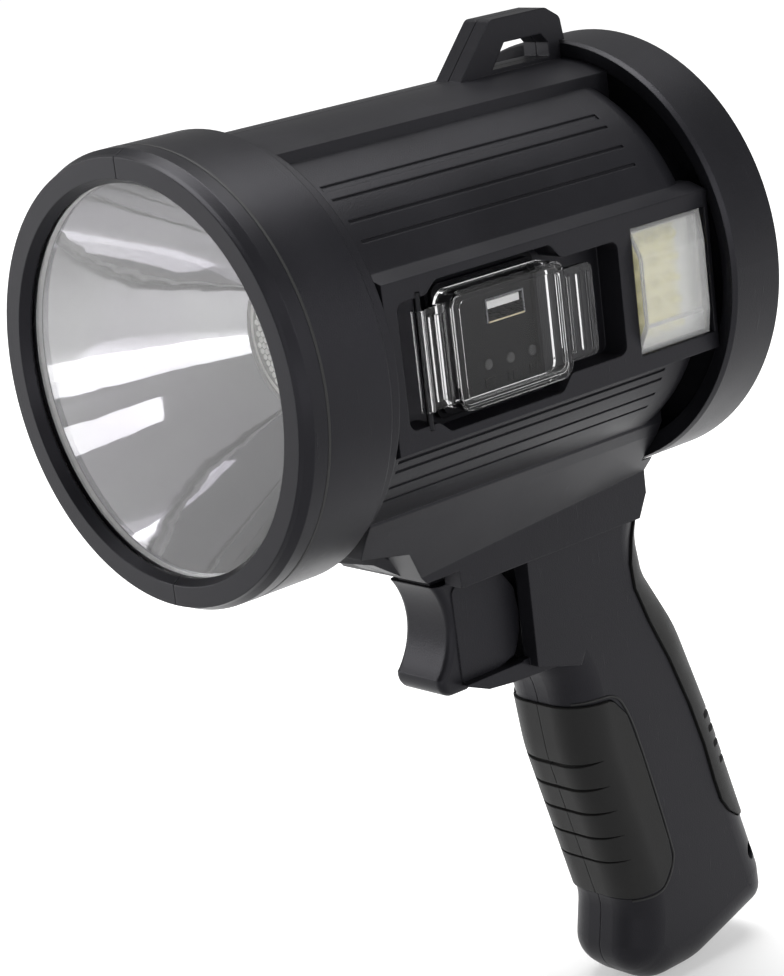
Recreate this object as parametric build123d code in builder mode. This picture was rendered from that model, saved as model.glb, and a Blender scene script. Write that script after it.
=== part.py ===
"""A handheld searchlight: a lamp head on a pistol grip, with a trigger, a side light and a covered port."""
import os
from math import cos, radians, sin, sqrt

from build123d import *

os.makedirs("parts", exist_ok=True)

# Main sizes in millimetres. The origin is the middle of the flat rear face, the beam leaves along -Y,
# +Z is up and +X is the side with the port. A depth is measured back from the front of the bezel.
length = 164.0
barrel_r = 51.0
barrel_wall = 2.6
seam = 0.2
fit = 0.2
pin_play = 0.05
overrun = 3.0

# Bezel, lens and the band behind them.
bezel_proud = 5.7
bezel_r = barrel_r + bezel_proud
bezel_depth = 8.0
bezel_crest_inset = 4.1
bezel_crest_r = bezel_r - bezel_crest_inset
bezel_crest_half = 2.6
bezel_shoulder = 3.4
bezel_rim = 8.2
opening_r = bezel_r - bezel_rim
opening_depth = 2.4
lens_lip = 0.6
lens_seat_depth = opening_depth + lens_lip
lens_inset = 4.7
lens_r = bezel_r - lens_inset
lens_thickness = 3.2
gasket_inset = 0.4
gasket_inner_r = opening_r + gasket_inset
edge_break = 0.4
tube_inset = 4.3
tube_r = bezel_r - tube_inset
tube_wall = 2.4
tube_step_wall = 3.4
reflector_seat = 1.6
band_width = 19.8
collar_inset = 2.3
collar_r = bezel_r - collar_inset
collar_width = 4.2
collar_taper = 2.0

# Reflector, light source and heat sink.
reflector_inset = 0.12
reflector_mouth_r = opening_r - reflector_inset
bowl_bottom_r = 19.4531
bowl_stations = 6
reflector_wall = 1.3
reflector_flange_r = tube_r - tube_wall - fit
reflector_flange = 1.4
emitter_r = 17.0
emitter_thickness = 1.2
board_thickness = 1.6
led_board_r = 26.0
sink_r = 27.0
sink_plate = 3.8
fin_length = 22.0
sink_gap = 3.4
fin_thickness = 1.6
fin_count = 9
sink_screw_ring_r = 23.0
sink_screw_count = 3
sink_screw_head_r = 1.9
sink_screw_head = 1.0

# Barrel end, saddle and side pads.
spigot_step = 9.0
spigot_r = barrel_r - spigot_step
shoulder_back = 17.5
shoulder_depth = length - shoulder_back
shoulder_round = 8.8
hollow_round_share = 1.4
spigot_wall = 2.6
flange_thickness = 5.0
flange_inner_r = 34.0
saddle_proud = 2.7
saddle_r = barrel_r + saddle_proud
saddle_half = 19.4
saddle_back = 17.2
saddle_end_depth = length - saddle_back
pad_x = barrel_r
pad_half = 20.7
pad_slope = 5.3
pad_foot_x = barrel_r - pad_slope
pad_foot_half = 22.5
pad_lead = 25.0
pad_start_depth = bezel_depth + pad_lead
pad_back = 18.0
pad_end_depth = length - pad_back
block_depth = 9.5
block_inner_x = barrel_r - block_depth
block_margin = 0.8
line_width = 0.9
line_depth = 0.45
line_lead = 4.0
line_start_depth = pad_start_depth + line_lead
line_back = 33.0
line_end_depth = length - line_back
line_angles = (54.3, 49.7, 42.0, 35.5, -27.6, -31.0, -36.8, -42.3)
broad_line = 2.0

# Keel under the barrel.
keel_start_depth = 40.0
keel_back = 14.0
keel_end_depth = length - keel_back
keel_root = 13.0
keel_top_z = keel_root - barrel_r
ridge_x = 26.4
ridge_lift = 4.4
ridge_z = ridge_lift - barrel_r
ridge_edge_x = 28.6
ridge_edge_lift = 8.0
ridge_edge_z = ridge_edge_lift - barrel_r
flank_x = 16.0
flank_front_drop = 16.0
flank_front_z = -barrel_r - flank_front_drop
flank_rear_drop = 8.3
flank_rear_z = -barrel_r - flank_rear_drop
keel_drop = 21.0
keel_bottom_z = -barrel_r - keel_drop
bow_half = 9.5
bow_chamfer = 2.5
bow_depth = 38.0
bow_run = 112.0
bow_root = 11.0
bow_top_z = bow_root - barrel_r
bow_drop = 32.0
bow_shares = (
    (0.000, 0.188), (0.000, 0.438), (0.179, 0.656), (0.257, 0.828), (0.345, 0.981), (0.345, 0.188),
)
keel_shares = (
    (0.018, -0.062), (0.018, 0.375), (0.179, 0.500), (0.262, 0.850),
    (0.366, 0.850), (0.366, 1.000), (1.000, 1.000), (1.000, -0.062),
)

# Grip: its side outline runs from the front of its root down to the toe and up the back again, and the third
# share is each corner's bend as a part of the drop.
grip_front_depth = 105.7
grip_run = 86.0
grip_root_drop = 7.0
grip_top_z = -barrel_r - grip_root_drop
grip_drop = 152.0
grip_half = 15.0
grip_round = 10.5
grip_wall = 3.0
grip_shares = (
    (0.000, 0.000, 0.000), (0.000, 0.224, 0.079), (0.120, 0.362, 0.132), (0.150, 0.502, 0.395),
    (0.313, 0.829, 0.066), (0.277, 0.934, 0.059), (0.393, 0.993, 0.092), (0.597, 0.993, 0.164),
    (0.965, 0.930, 0.033), (0.959, 0.855, 0.059), (0.778, 0.511, 0.592), (0.658, 0.322, 0.329),
    (0.531, 0.201, 0.092), (0.513, 0.132, 0.079), (0.585, 0.000, 0.000),
)
neck_shares = (
    (-0.020, 0.013), (-0.020, 0.286), (0.079, 0.303), (0.166, 0.316), (0.259, 0.224), (0.259, 0.013),
)
channel_r = 8.0
channel_share = 0.29
eye_r = 2.6
eye_wall = 3.0
eye_shares = (0.885, 0.819)

# Soft pieces of the grip.
soft_proud = 0.7
soft_sunk = 1.8
pad_bend = 4.0
soft_gap = 0.45
groove_width = 1.9
groove_dip = 1.1
groove_dip_share = 0.6
groove_lift = 0.7
groove_sunk = 0.4
pad_shares = (
    (-0.124, 0.395), (0.277, 0.401), (0.335, 0.438), (0.387, 0.526), (0.471, 0.711),
    (0.478, 0.757), (0.428, 0.796), (0.329, 0.806), (-0.124, 0.783),
)
groove_shares = ((0.230, 0.513), (0.248, 0.566), (0.271, 0.618), (0.294, 0.671), (0.317, 0.724))
strap_shares = (
    (0.515, 0.053), (0.449, 0.125), (0.424, 0.171), (0.431, 0.217), (0.480, 0.287), (0.556, 0.374),
    (0.629, 0.475), (0.681, 0.564), (0.714, 0.641), (0.738, 0.686), (0.771, 0.713), (0.829, 0.737),
    (1.155, 0.750), (1.155, 0.053),
)
rib_shares = ((0.695, 0.510), (0.712, 0.540), (0.730, 0.573), (0.753, 0.609))

# Carrying loop on top.
loop_front_depth = 106.8
loop_run = 40.6
loop_lift = 16.7
loop_top_z = barrel_r + loop_lift
loop_rise = 17.7
loop_half = 4.6
loop_bend = 2.2
loop_rim = 1.5
loop_channel = 0.9
loop_shares = (
    (-0.039, 1.000), (0.352, 0.013), (0.849, 0.013), (0.974, 0.188), (1.000, 0.562), (1.000, 1.000),
)
loop_hole_shares = ((0.330, 0.737), (0.455, 0.380), (0.790, 0.380), (0.849, 0.531), (0.849, 0.737))

# Trigger, its pocket and the switch. Shares here are of the trigger's own reach and drop from its pin.
trigger_depth = 80.4
trigger_pin_drop = 15.0
trigger_z = -barrel_r - trigger_pin_drop
trigger_reach = 24.0
trigger_drop = 40.0
finger_half = 9.0
finger_round = 2.0
cheek_half = 9.4
cheek_bend = 2.5
lug_half = 6.0
lug_r = 3.4
pocket_half = cheek_half + 0.4
skirt_clear = 1.0
trigger_pin_r = 1.5
trigger_pin_half = 13.8
finger_arc_shares = ((-0.200, 0.155), (-0.030, 0.482), (-0.250, 0.782))
toe_arc_shares = ((-0.250, 0.782), (-0.215, 0.872), (-0.080, 0.918))
finger_back_shares = ((-0.080, 0.918), (0.129, 0.920), (0.212, 0.840), (0.233, 0.155), (-0.200, 0.155))
cheek_shares = (
    (0.033, 0.180), (0.779, 0.207), (0.950, 0.342), (0.996, 0.535), (0.962, 0.670), (0.867, 0.802),
    (0.596, 0.845), (0.054, 0.870),
)
window_shares = (
    (-0.700, 0.150), (0.640, 0.150), (0.870, 0.247), (0.946, 0.377), (0.933, 0.808), (0.883, 0.845),
    (-0.700, 0.845),
)
pocket_shares = (
    (-0.067, 0.200), (-0.067, 0.080), (0.233, 0.030), (1.008, 0.030), (1.104, 0.175), (1.104, 0.882),
    (-0.700, 0.882), (-0.700, 0.200),
)
lug_room_shares = ((-0.150, -0.130), (0.250, -0.130), (0.250, 0.120), (-0.150, 0.120))
ledge_half = 12.0
ledge_shares = (
    (0.025, 0.835), (0.025, 0.858), (0.333, 0.932), (0.692, 0.955), (1.442, 0.975), (1.442, 0.835),
)
toe_slot_shares = ((-1.000, 0.800), (0.460, 1.200))
plunger_share = 0.450
plunger_tip_share = 1.000
plunger_r = 2.0
plunger_length = 8.0
switch_size = (10.0, 12.0, 14.0)
switch_gap_share = 1.220
switch_floor = 1.5

# Rear cup with its panel and window.
ring_proud = 7.1
ring_r = barrel_r + ring_proud
ring_lip = 0.5
ring_lip_r = ring_r - ring_lip
ring_wall = 5.1
ring_bore_r = ring_r - ring_wall
ring_width = 18.3
ring_front_depth = length - ring_width
ring_lip_run = 1.6
ring_lip_depth = ring_front_depth + ring_lip_run
ring_floor_back = 9.0
ring_floor_depth = length - ring_floor_back
ring_floor = 3.5
rear_rim = 7.5
rear_pocket_r = ring_r - rear_rim
wire_hole_r = 12.0
panel_thickness = 1.9
panel_inset = 11.5
panel_r = ring_r - panel_inset
rear_window_r = rear_pocket_r - fit
rear_screw_ring_r = 38.0
rear_screw_count = 4
screw_r = 1.2
screw_head_r = 2.6
screw_head = 1.5
screw_bite = 4.0

# Housing screws, driven from the plain side into the grip.
housing_screw_shares = ((0.294, 0.250), (0.550, 0.592), (0.527, 0.888))
well_r = 3.2
well_floor_x = -9.0
screw_reach_x = 9.0
boss_r = 4.2

# Port: recess in the +X pad, panel, socket, indicators and the clear hinged cover. Its places are shares
# of the run from the start of the side pad to the side light.
port_recess = 7.5
port_floor_x = barrel_r - port_recess
port_depth_shares = (0.0476, 0.1605, 0.2021, 0.6599, 0.7015, 0.9405)
port_halves = (15.5, 18.5, 14.5)
port_bend = 2.5
panel_plate = 1.5
panel_start_share = 0.2200
panel_end_share = 0.6564
panel_half = 17.0
panel_rim = 1.2
panel_rim_rise = 1.2
panel_rim_inset = 1.0
usb_share = 0.5196
usb_z = 5.6
usb_width = 12.2
usb_height = 5.1
usb_shell = 0.4
usb_length = 14.0
usb_proud = 0.4
tongue_width = 11.2
tongue_thickness = 1.9
tongue_short = 0.8
lamp_r = 1.3
lamp_proud = 0.4
lamp_share = 0.5208
lamp_pitch = 7.6
lamp_z = -7.3
cover_start_share = 0.2247
cover_end_share = 0.6885
cover_half = 14.8
cover_bend = 4.0
cover_sunk = 4.0
cover_base_x = barrel_r - cover_sunk
cover_proud = 2.5
cover_top_x = barrel_r + cover_proud
cover_wall = 1.5
cover_step = 0.6
cover_step_inset = 2.6
tab_sunk = 1.4
tab_x = barrel_r - tab_sunk
tab_thickness = 1.7
tab_bend = 2.0
front_tab_share = 0.1296
front_tab_half = 12.3
rear_tab_share = 0.8193
rear_tab_half = 11.6
tab_rib = 1.0
tab_rib_rise = 0.7
front_rib_count = 3
rear_rib_count = 3
knuckle_r = 1.7
hinge_sunk = 0.5
hinge_x = barrel_r - hinge_sunk
hinge_pin_r = 0.8
hinge_pin_bite = 1.3

# Side light.
side_run = 27.7
side_back = 19.2
side_end_depth = length - side_back
side_start_depth = side_end_depth - side_run
side_half = 16.4
side_lens_proud = 2.5
side_lens_x = barrel_r + side_lens_proud
side_edge_sunk = 0.8
side_edge_x = barrel_r - side_edge_sunk
side_face_half = 9.2
side_bevel = 3.8
side_bevel_sunk = 2.5
side_bevel_x = barrel_r - side_bevel_sunk
side_lens_wall = 1.6
side_led_rows = 5
side_led_columns = 3
side_led = 3.2
side_led_rise = 0.9
side_led_row_pitch = 5.6
side_led_column_pitch = 6.0
side_led_lead = 11.5
side_led_depth = side_start_depth + side_led_lead
side_led_sheet = 0.2
side_led_margin = 0.6

# Inside the barrel.
cell_r = 9.2
cell_length = 65.0
cell_count = 3
cell_gap = 1.0
cell_pitch = 19.0
tray_z = -20.0
tray_plate = 2.0
tray_wall = 12.0
main_board_lead = 17.5
main_board_past = 28.0
main_board_half = 17.0
chip_size = 8.0
chip_rise = 1.5
chip_pitch = 14.0
chip_count = 3


# The pieces behind the bowl are laid out from the rear: cells, tray, heat sink, board and light source. The
# bowl takes the room that is left, and its depth follows from the radii at its mouth and its bottom.
cell_start_depth = ring_floor_depth - flange_thickness - cell_gap - cell_length
sink_end_depth = cell_start_depth - tray_plate - sink_gap
board_front_depth = sink_end_depth - fin_length - sink_plate - board_thickness
reflector_mouth_depth = board_front_depth - emitter_thickness
bowl_depth = (reflector_mouth_depth - bezel_depth) / (1 - (bowl_bottom_r / reflector_mouth_r) ** 2)
reflector_vertex_depth = bezel_depth + bowl_depth
reflector_focus = reflector_mouth_r ** 2 / (4 * bowl_depth)
main_board_depths = (pad_start_depth + main_board_lead, cell_start_depth + main_board_past)


def along(share):
    """The depth of a share of the port's run."""
    return pad_start_depth + share * (side_start_depth - pad_start_depth)


port_depths = [along(share) for share in port_depth_shares]
panel_start_depth = along(panel_start_share)
panel_end_depth = along(panel_end_share)
usb_depth = along(usb_share)
lamp_depth = along(lamp_share)
cover_start_depth = along(cover_start_share)
cover_end_depth = along(cover_end_share)
front_tab_depth = along(front_tab_share)
rear_tab_depth = along(rear_tab_share)
hinge_depth = front_tab_depth


def at(depth):
    """The Y place of a depth behind the front of the bezel."""
    return depth - length


def spots(shares, front_depth, run, top_z, drop):
    """Side view points, given as shares of a run to the rear and a drop downwards."""
    return [(at(front_depth + u * run), top_z - v * drop) for u, v in shares]


def grip_spots(shares):
    return spots(shares, grip_front_depth, grip_run, grip_top_z, grip_drop)


def keel_spots(shares):
    return spots(shares, bow_depth, bow_run, bow_top_z, bow_drop)


def trigger_spots(shares):
    return spots(shares, trigger_depth, trigger_reach, trigger_z, trigger_drop)


def turned(points):
    """A solid turned about the Y axis from points of radius and depth."""
    with BuildPart() as body:
        with BuildSketch(Plane.XY):
            with BuildLine():
                Polyline(*[(radius, at(depth)) for radius, depth in points], close=True)
            make_face()
        revolve(axis=Axis.Y)
    return body.part


def disc(outer_r, start_depth, end_depth, inner_r=0.0):
    """A disc or a ring between two depths."""
    return turned((
        (inner_r, start_depth), (outer_r, start_depth), (outer_r, end_depth), (inner_r, end_depth),
    ))


def slab(points, half, bend=0.0, grow=0.0):
    """A plate with a side view outline, as wide as half on each side of the middle."""
    with BuildSketch(Plane.YZ) as outline:
        with BuildLine():
            Polyline(*points, close=True)
        make_face()
        if bend:
            fillet(outline.vertices(), radius=bend)
        if grow:
            offset(amount=grow, kind=Kind.INTERSECTION)
    with BuildPart() as body:
        extrude(outline.sketch, amount=half, both=True)
    return body.part


def block(xs, ys, zs):
    """A block between two X, two Y and two Z places."""
    with BuildPart() as body:
        with Locations(((xs[0] + xs[1]) / 2, (ys[0] + ys[1]) / 2, (zs[0] + zs[1]) / 2)):
            Box(abs(xs[1] - xs[0]), abs(ys[1] - ys[0]), abs(zs[1] - zs[0]))
    return body.part


def rod(radius, start, end):
    """A round rod between two points."""
    way = Vector(*end) - Vector(*start)
    with BuildPart() as body:
        with BuildSketch(Plane(origin=start, z_dir=way)):
            Circle(radius)
        extrude(amount=way.length)
    return body.part


def grip_form(grow):
    """The rounded grip, grown or shrunk evenly."""
    half = grip_half + grow
    with BuildSketch(Plane.YZ) as outline:
        with BuildLine():
            Polyline(*grip_spots([share[:2] for share in grip_shares]), close=True)
        make_face()
        for u, v, bend in grip_shares:
            if bend:
                (spot_y, spot_z), = grip_spots([(u, v)])
                corner = outline.vertices().sort_by_distance((spot_y, spot_z))[0]
                fillet(corner, radius=bend * grip_drop)
        if grow:
            offset(amount=grow, kind=Kind.INTERSECTION)
    with BuildPart() as body:
        extrude(outline.sketch, amount=half, both=True)
        rim = [
            edge for edge in body.edges()
            if abs(edge.center().X) > half * 0.999 and edge.center().Z < grip_top_z + min(grow, 0) - seam
        ]
        fillet(rim, radius=grip_round + grow)
    return body.part


def save(part, name):
    part.label = name
    export_step(part, f"parts/{name}.step")


def halves(part, name, gap, cut=None):
    """Splits a piece at the middle plane, makes a last cut and writes its left and right halves."""
    low, high = part.bounding_box().min, part.bounding_box().max
    for side, sign in (("left", -1), ("right", 1)):
        with BuildPart() as half:
            add(part)
            add(block(
                (sign * gap / 2, sign * (high.X + overrun)),
                (low.Y - overrun, high.Y + overrun), (low.Z - overrun, high.Z + overrun),
            ), mode=Mode.INTERSECT)
            if cut:
                add(cut, mode=Mode.SUBTRACT)
        save(half.part, f"{name}_{side}")


# Bezel: a ring with a rounded crest, a thin lip over the lens and a square back.
with BuildPart() as bezel:
    add(turned((
        (opening_r, opening_depth),
        (bezel_crest_r - bezel_crest_half, 0),
        (bezel_crest_r + bezel_crest_half, 0),
        (bezel_r - bezel_shoulder / 3, bezel_shoulder / 3),
        (bezel_r, bezel_shoulder),
        (bezel_r, bezel_depth - edge_break),
        (bezel_r - edge_break, bezel_depth),
        (lens_r + fit, bezel_depth),
        (lens_r + fit, lens_seat_depth),
        (opening_r, lens_seat_depth),
    )))
halves(bezel.part, "bezel", seam)

with BuildPart() as front_lens:
    add(disc(lens_r, lens_seat_depth, lens_seat_depth + lens_thickness))
save(front_lens.part, "front_lens")

with BuildPart() as lens_gasket:
    add(disc(lens_r - fit, lens_seat_depth + lens_thickness, bezel_depth, gasket_inner_r))
save(lens_gasket.part, "lens_gasket")

band_end_depth = bezel_depth + band_width
with BuildPart() as head_band:
    add(turned((
        (tube_r + fit, bezel_depth),
        (bezel_r - edge_break, bezel_depth),
        (bezel_r, bezel_depth + edge_break),
        (bezel_r, band_end_depth - edge_break),
        (bezel_r - edge_break, band_end_depth),
        (tube_r + fit, band_end_depth),
    )))
save(head_band.part, "head_band")


def bowl_r(depth):
    """The radius of the reflecting surface at a depth."""
    return 2 * sqrt(reflector_focus * (reflector_vertex_depth - depth))


# Reflector: a parabolic bowl with a flange that rests in the mouth of the barrel.
with BuildPart() as reflector:
    with BuildSketch(Plane.XY):
        with BuildLine():
            depths = [
                bezel_depth + (reflector_mouth_depth - bezel_depth) * i / bowl_stations
                for i in range(bowl_stations + 1)
            ]
            inner = [(bowl_r(d), at(d)) for d in depths]
            outer = [(bowl_r(d) + reflector_wall, at(d)) for d in depths[1:]]
            flange_depth = bezel_depth + reflector_flange
            flange_foot = (bowl_r(flange_depth) + reflector_wall, at(flange_depth))
            Spline(*inner)
            Line(inner[-1], (inner[-1][0], at(reflector_mouth_depth + emitter_thickness)))
            Line(
                (inner[-1][0], at(reflector_mouth_depth + emitter_thickness)),
                (outer[-1][0], at(reflector_mouth_depth + emitter_thickness)),
            )
            Line((outer[-1][0], at(reflector_mouth_depth + emitter_thickness)), outer[-1])
            Spline(*reversed(outer), flange_foot)
            Polyline(
                flange_foot,
                (reflector_flange_r, at(flange_depth)),
                (reflector_flange_r, at(bezel_depth)),
                inner[0],
            )
        make_face()
    revolve(axis=Axis.Y)
save(reflector.part, "reflector")

with BuildPart() as led_emitter:
    add(disc(emitter_r, reflector_mouth_depth, board_front_depth))
save(led_emitter.part, "led_emitter")

sink_front_depth = board_front_depth + board_thickness
with BuildPart() as led_board:
    add(disc(led_board_r, board_front_depth, sink_front_depth))
    with BuildSketch(Plane.XZ.offset(-at(board_front_depth))):
        with PolarLocations(sink_screw_ring_r, sink_screw_count):
            Circle(screw_r + fit)
    extrude(amount=-board_thickness, mode=Mode.SUBTRACT)
save(led_board.part, "led_board")

# Heat sink: a round plate with parallel fins behind it.
with BuildPart() as heat_sink:
    add(disc(sink_r, sink_front_depth, sink_front_depth + sink_plate))
    with BuildSketch(Plane.XZ.offset(-at(sink_front_depth + sink_plate))):
        with GridLocations(2 * sink_r / fin_count, sink_r, fin_count, 1):
            Rectangle(fin_thickness, 2 * sink_r)
        Circle(sink_r, mode=Mode.INTERSECT)
    extrude(amount=-fin_length)
    with BuildSketch(Plane.XZ.offset(-at(sink_front_depth))):
        with PolarLocations(sink_screw_ring_r, sink_screw_count):
            Circle(screw_r + pin_play)
    extrude(amount=-sink_plate, mode=Mode.SUBTRACT)
save(heat_sink.part, "heat_sink")

with BuildPart() as heat_sink_screws:
    with BuildSketch(Plane.XZ.offset(-at(board_front_depth))):
        with PolarLocations(sink_screw_ring_r, sink_screw_count):
            Circle(screw_r)
    extrude(amount=-(board_thickness + sink_plate))
    with BuildSketch(Plane.XZ.offset(-at(board_front_depth))):
        with PolarLocations(sink_screw_ring_r, sink_screw_count):
            Circle(sink_screw_head_r)
    extrude(amount=sink_screw_head)
save(heat_sink_screws.part, "heat_sink_screws")

# Outer form of the barrel: front tube, collar, body, and a rounded shoulder into the rear spigot.
collar_end_depth = band_end_depth + collar_width
with BuildPart() as barrel_form:
    add(turned((
        (0, bezel_depth),
        (tube_r, bezel_depth),
        (tube_r, band_end_depth),
        (collar_r, band_end_depth),
        (collar_r, collar_end_depth),
        (barrel_r, collar_end_depth + collar_taper),
        (barrel_r, shoulder_depth),
        (spigot_r, shoulder_depth),
        (spigot_r, ring_floor_depth),
        (0, ring_floor_depth),
    )))
    corner = [
        edge for edge in barrel_form.edges().filter_by(GeomType.CIRCLE)
        if abs(edge.radius - barrel_r) < seam and edge.center().Y > at(shoulder_depth) - seam
    ]
    fillet(corner, radius=shoulder_round)

with BuildPart() as saddle:
    with BuildSketch(Plane.XZ.offset(-at(band_end_depth + collar_width / 2))):
        Circle(saddle_r)
        with Locations((0, saddle_r)):
            Rectangle(2 * saddle_half, 2 * (saddle_r - spigot_r), mode=Mode.INTERSECT)
    extrude(amount=-(saddle_end_depth - band_end_depth - collar_width / 2))

with BuildPart() as side_pads:
    for sign in (-1, 1):
        with BuildSketch(Plane.XZ.offset(-at(pad_start_depth))):
            with BuildLine():
                Polyline(
                    (sign * spigot_r, pad_foot_half),
                    (sign * pad_foot_x, pad_foot_half),
                    (sign * pad_x, pad_half),
                    (sign * pad_x, -pad_half),
                    (sign * pad_foot_x, -pad_foot_half),
                    (sign * spigot_r, -pad_foot_half),
                    close=True,
                )
            make_face()
        extrude(amount=-(pad_end_depth - pad_start_depth))


def keel_section(bottom_z):
    """Half a ship's hull seen from the front: ridge, sloping flank and upright neck."""
    return (
        (0, keel_top_z), (ridge_edge_x, keel_top_z), (ridge_edge_x, ridge_edge_z), (ridge_x, ridge_z),
        (flank_x, bottom_z), (flank_x, keel_bottom_z), (-flank_x, keel_bottom_z), (-flank_x, bottom_z),
        (-ridge_x, ridge_z), (-ridge_edge_x, ridge_edge_z), (-ridge_edge_x, keel_top_z),
    )


# The rear cup's room, kept free of the keel and the root of the grip.
cup_room = disc(ring_r + fit, ring_front_depth - fit, length + overrun)

# Keel: the flank falls away to the front, so two sections are lofted and clipped to the side view.
with BuildPart() as keel:
    for depth, low_z in ((keel_start_depth, flank_front_z), (keel_end_depth, flank_rear_z)):
        with BuildSketch(Plane.XZ.offset(-at(depth))):
            with BuildLine():
                Polyline(*keel_section(low_z), close=True)
            make_face()
    loft(ruled=True)
    add(slab(keel_spots(keel_shares), ridge_edge_x + overrun), mode=Mode.INTERSECT)
    add(cup_room, mode=Mode.SUBTRACT)

with BuildPart() as bow:
    add(slab(keel_spots(bow_shares), bow_half))
    bow_rim = [
        edge for edge in bow.edges().filter_by(Axis.X, reverse=True)
        if edge.center().Z < bow_top_z - bow_drop / 3 and abs(edge.center().X) > bow_half - seam
    ]
    chamfer(bow_rim, length=bow_chamfer)

# Carrying loop: a slanted front leg, a flat top and a short rear leg, with a channel along both sides.
with BuildSketch(Plane.YZ) as loop_outline:
    with BuildLine():
        Polyline(*spots(loop_shares, loop_front_depth, loop_run, loop_top_z, loop_rise), close=True)
    make_face()
    fillet([v for v in loop_outline.vertices() if v.Y > loop_top_z - loop_rise / 3], radius=loop_bend)
with BuildSketch(Plane.YZ) as loop_hole:
    with BuildLine():
        Polyline(*spots(loop_hole_shares, loop_front_depth, loop_run, loop_top_z, loop_rise), close=True)
    make_face()
with BuildSketch(Plane.YZ) as loop_hole_rim:
    add(loop_hole.sketch)
    offset(amount=loop_rim, kind=Kind.INTERSECTION)
with BuildSketch(Plane.YZ) as loop_rib:
    add(loop_outline.sketch)
    offset(amount=-loop_rim, kind=Kind.INTERSECTION)
    add(loop_hole_rim.sketch, mode=Mode.SUBTRACT)
with BuildPart() as loop:
    extrude(loop_outline.sketch, amount=loop_half, both=True)
    extrude(loop_hole.sketch, amount=loop_half + overrun, both=True, mode=Mode.SUBTRACT)
    with BuildPart(mode=Mode.PRIVATE) as loop_channels:
        extrude(loop_rib.sketch, amount=loop_half + overrun, both=True)
        add(block(
            (-loop_half + loop_channel, loop_half - loop_channel),
            (at(loop_front_depth - overrun), at(loop_front_depth + loop_run + overrun)),
            (loop_top_z - 2 * loop_rise, loop_top_z + overrun),
        ), mode=Mode.SUBTRACT)
        add(block(
            (-loop_half - 2 * overrun, loop_half + 2 * overrun),
            (at(loop_front_depth - overrun), at(loop_front_depth + loop_run + overrun)),
            (loop_top_z - 2 * loop_rise, saddle_r + loop_rim / 2),
        ), mode=Mode.SUBTRACT)
    add(loop_channels.part, mode=Mode.SUBTRACT)
    add(cup_room, mode=Mode.SUBTRACT)

# What is left open inside: barrel, grip and the channel between them, less the screw bosses.
screw_places = grip_spots(housing_screw_shares)
(eye_y, eye_z), = grip_spots((eye_shares,))
channel_y = at(grip_front_depth + channel_share * grip_run)
hollow_r = barrel_r - barrel_wall
hollow_end_depth = shoulder_depth - hollow_round_share * shoulder_round
with BuildPart() as hollow:
    add(turned((
        (0, bezel_depth - overrun),
        (tube_r - tube_wall, bezel_depth - overrun),
        (tube_r - tube_wall, bezel_depth + reflector_seat),
        (tube_r - tube_step_wall, bezel_depth + reflector_seat),
        (tube_r - tube_step_wall, band_end_depth),
        (hollow_r, collar_end_depth),
        (hollow_r, hollow_end_depth),
        (spigot_r - spigot_wall, shoulder_depth - spigot_wall),
        (spigot_r - spigot_wall, ring_floor_depth - flange_thickness),
        (flange_inner_r, ring_floor_depth - flange_thickness),
        (flange_inner_r, ring_floor_depth + overrun),
        (0, ring_floor_depth + overrun),
    )))
    add(block(
        (block_inner_x, pad_x), (at(pad_start_depth), at(pad_end_depth)),
        (-pad_half - block_margin, pad_half + block_margin),
    ), mode=Mode.SUBTRACT)
    add(grip_form(-grip_wall))
    add(rod(channel_r, (0, channel_y, grip_top_z - 2 * grip_wall), (0, channel_y, -hollow_r + channel_r)))
    for place_y, place_z in screw_places:
        add(rod(boss_r, (-grip_half, place_y, place_z), (grip_half, place_y, place_z)), mode=Mode.SUBTRACT)
    add(rod(eye_r + eye_wall, (-grip_half, eye_y, eye_z), (grip_half, eye_y, eye_z)), mode=Mode.SUBTRACT)

port_outline = []
for sign in (1, -1):
    side_points = [
        (at(port_depths[0]), sign * port_halves[0]), (at(port_depths[1]), sign * port_halves[0]),
        (at(port_depths[2]), sign * port_halves[1]), (at(port_depths[3]), sign * port_halves[1]),
        (at(port_depths[4]), sign * port_halves[2]), (at(port_depths[5]), sign * port_halves[2]),
    ]
    port_outline += side_points if sign > 0 else list(reversed(side_points))
with BuildSketch(Plane.YZ.offset(port_floor_x)) as port_mouth:
    with BuildLine():
        Polyline(*port_outline, close=True)
    make_face()
    fillet(port_mouth.vertices(), radius=port_bend)

pin_y = at(trigger_depth)
toe_slot = trigger_spots(toe_slot_shares)
plunger_z = trigger_z - plunger_share * trigger_drop
plunger_tip_y = at(trigger_depth + plunger_tip_share * trigger_reach)
switch_y = at(trigger_depth + switch_gap_share * trigger_reach)
hinge_y = at(hinge_depth)
usb_y = at(usb_depth)
usb_half_y = usb_width / 2 + usb_shell
usb_half_z = usb_height / 2 + usb_shell

with BuildPart() as grip_root:
    add(grip_form(0))
    add(cup_room, mode=Mode.SUBTRACT)

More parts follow.
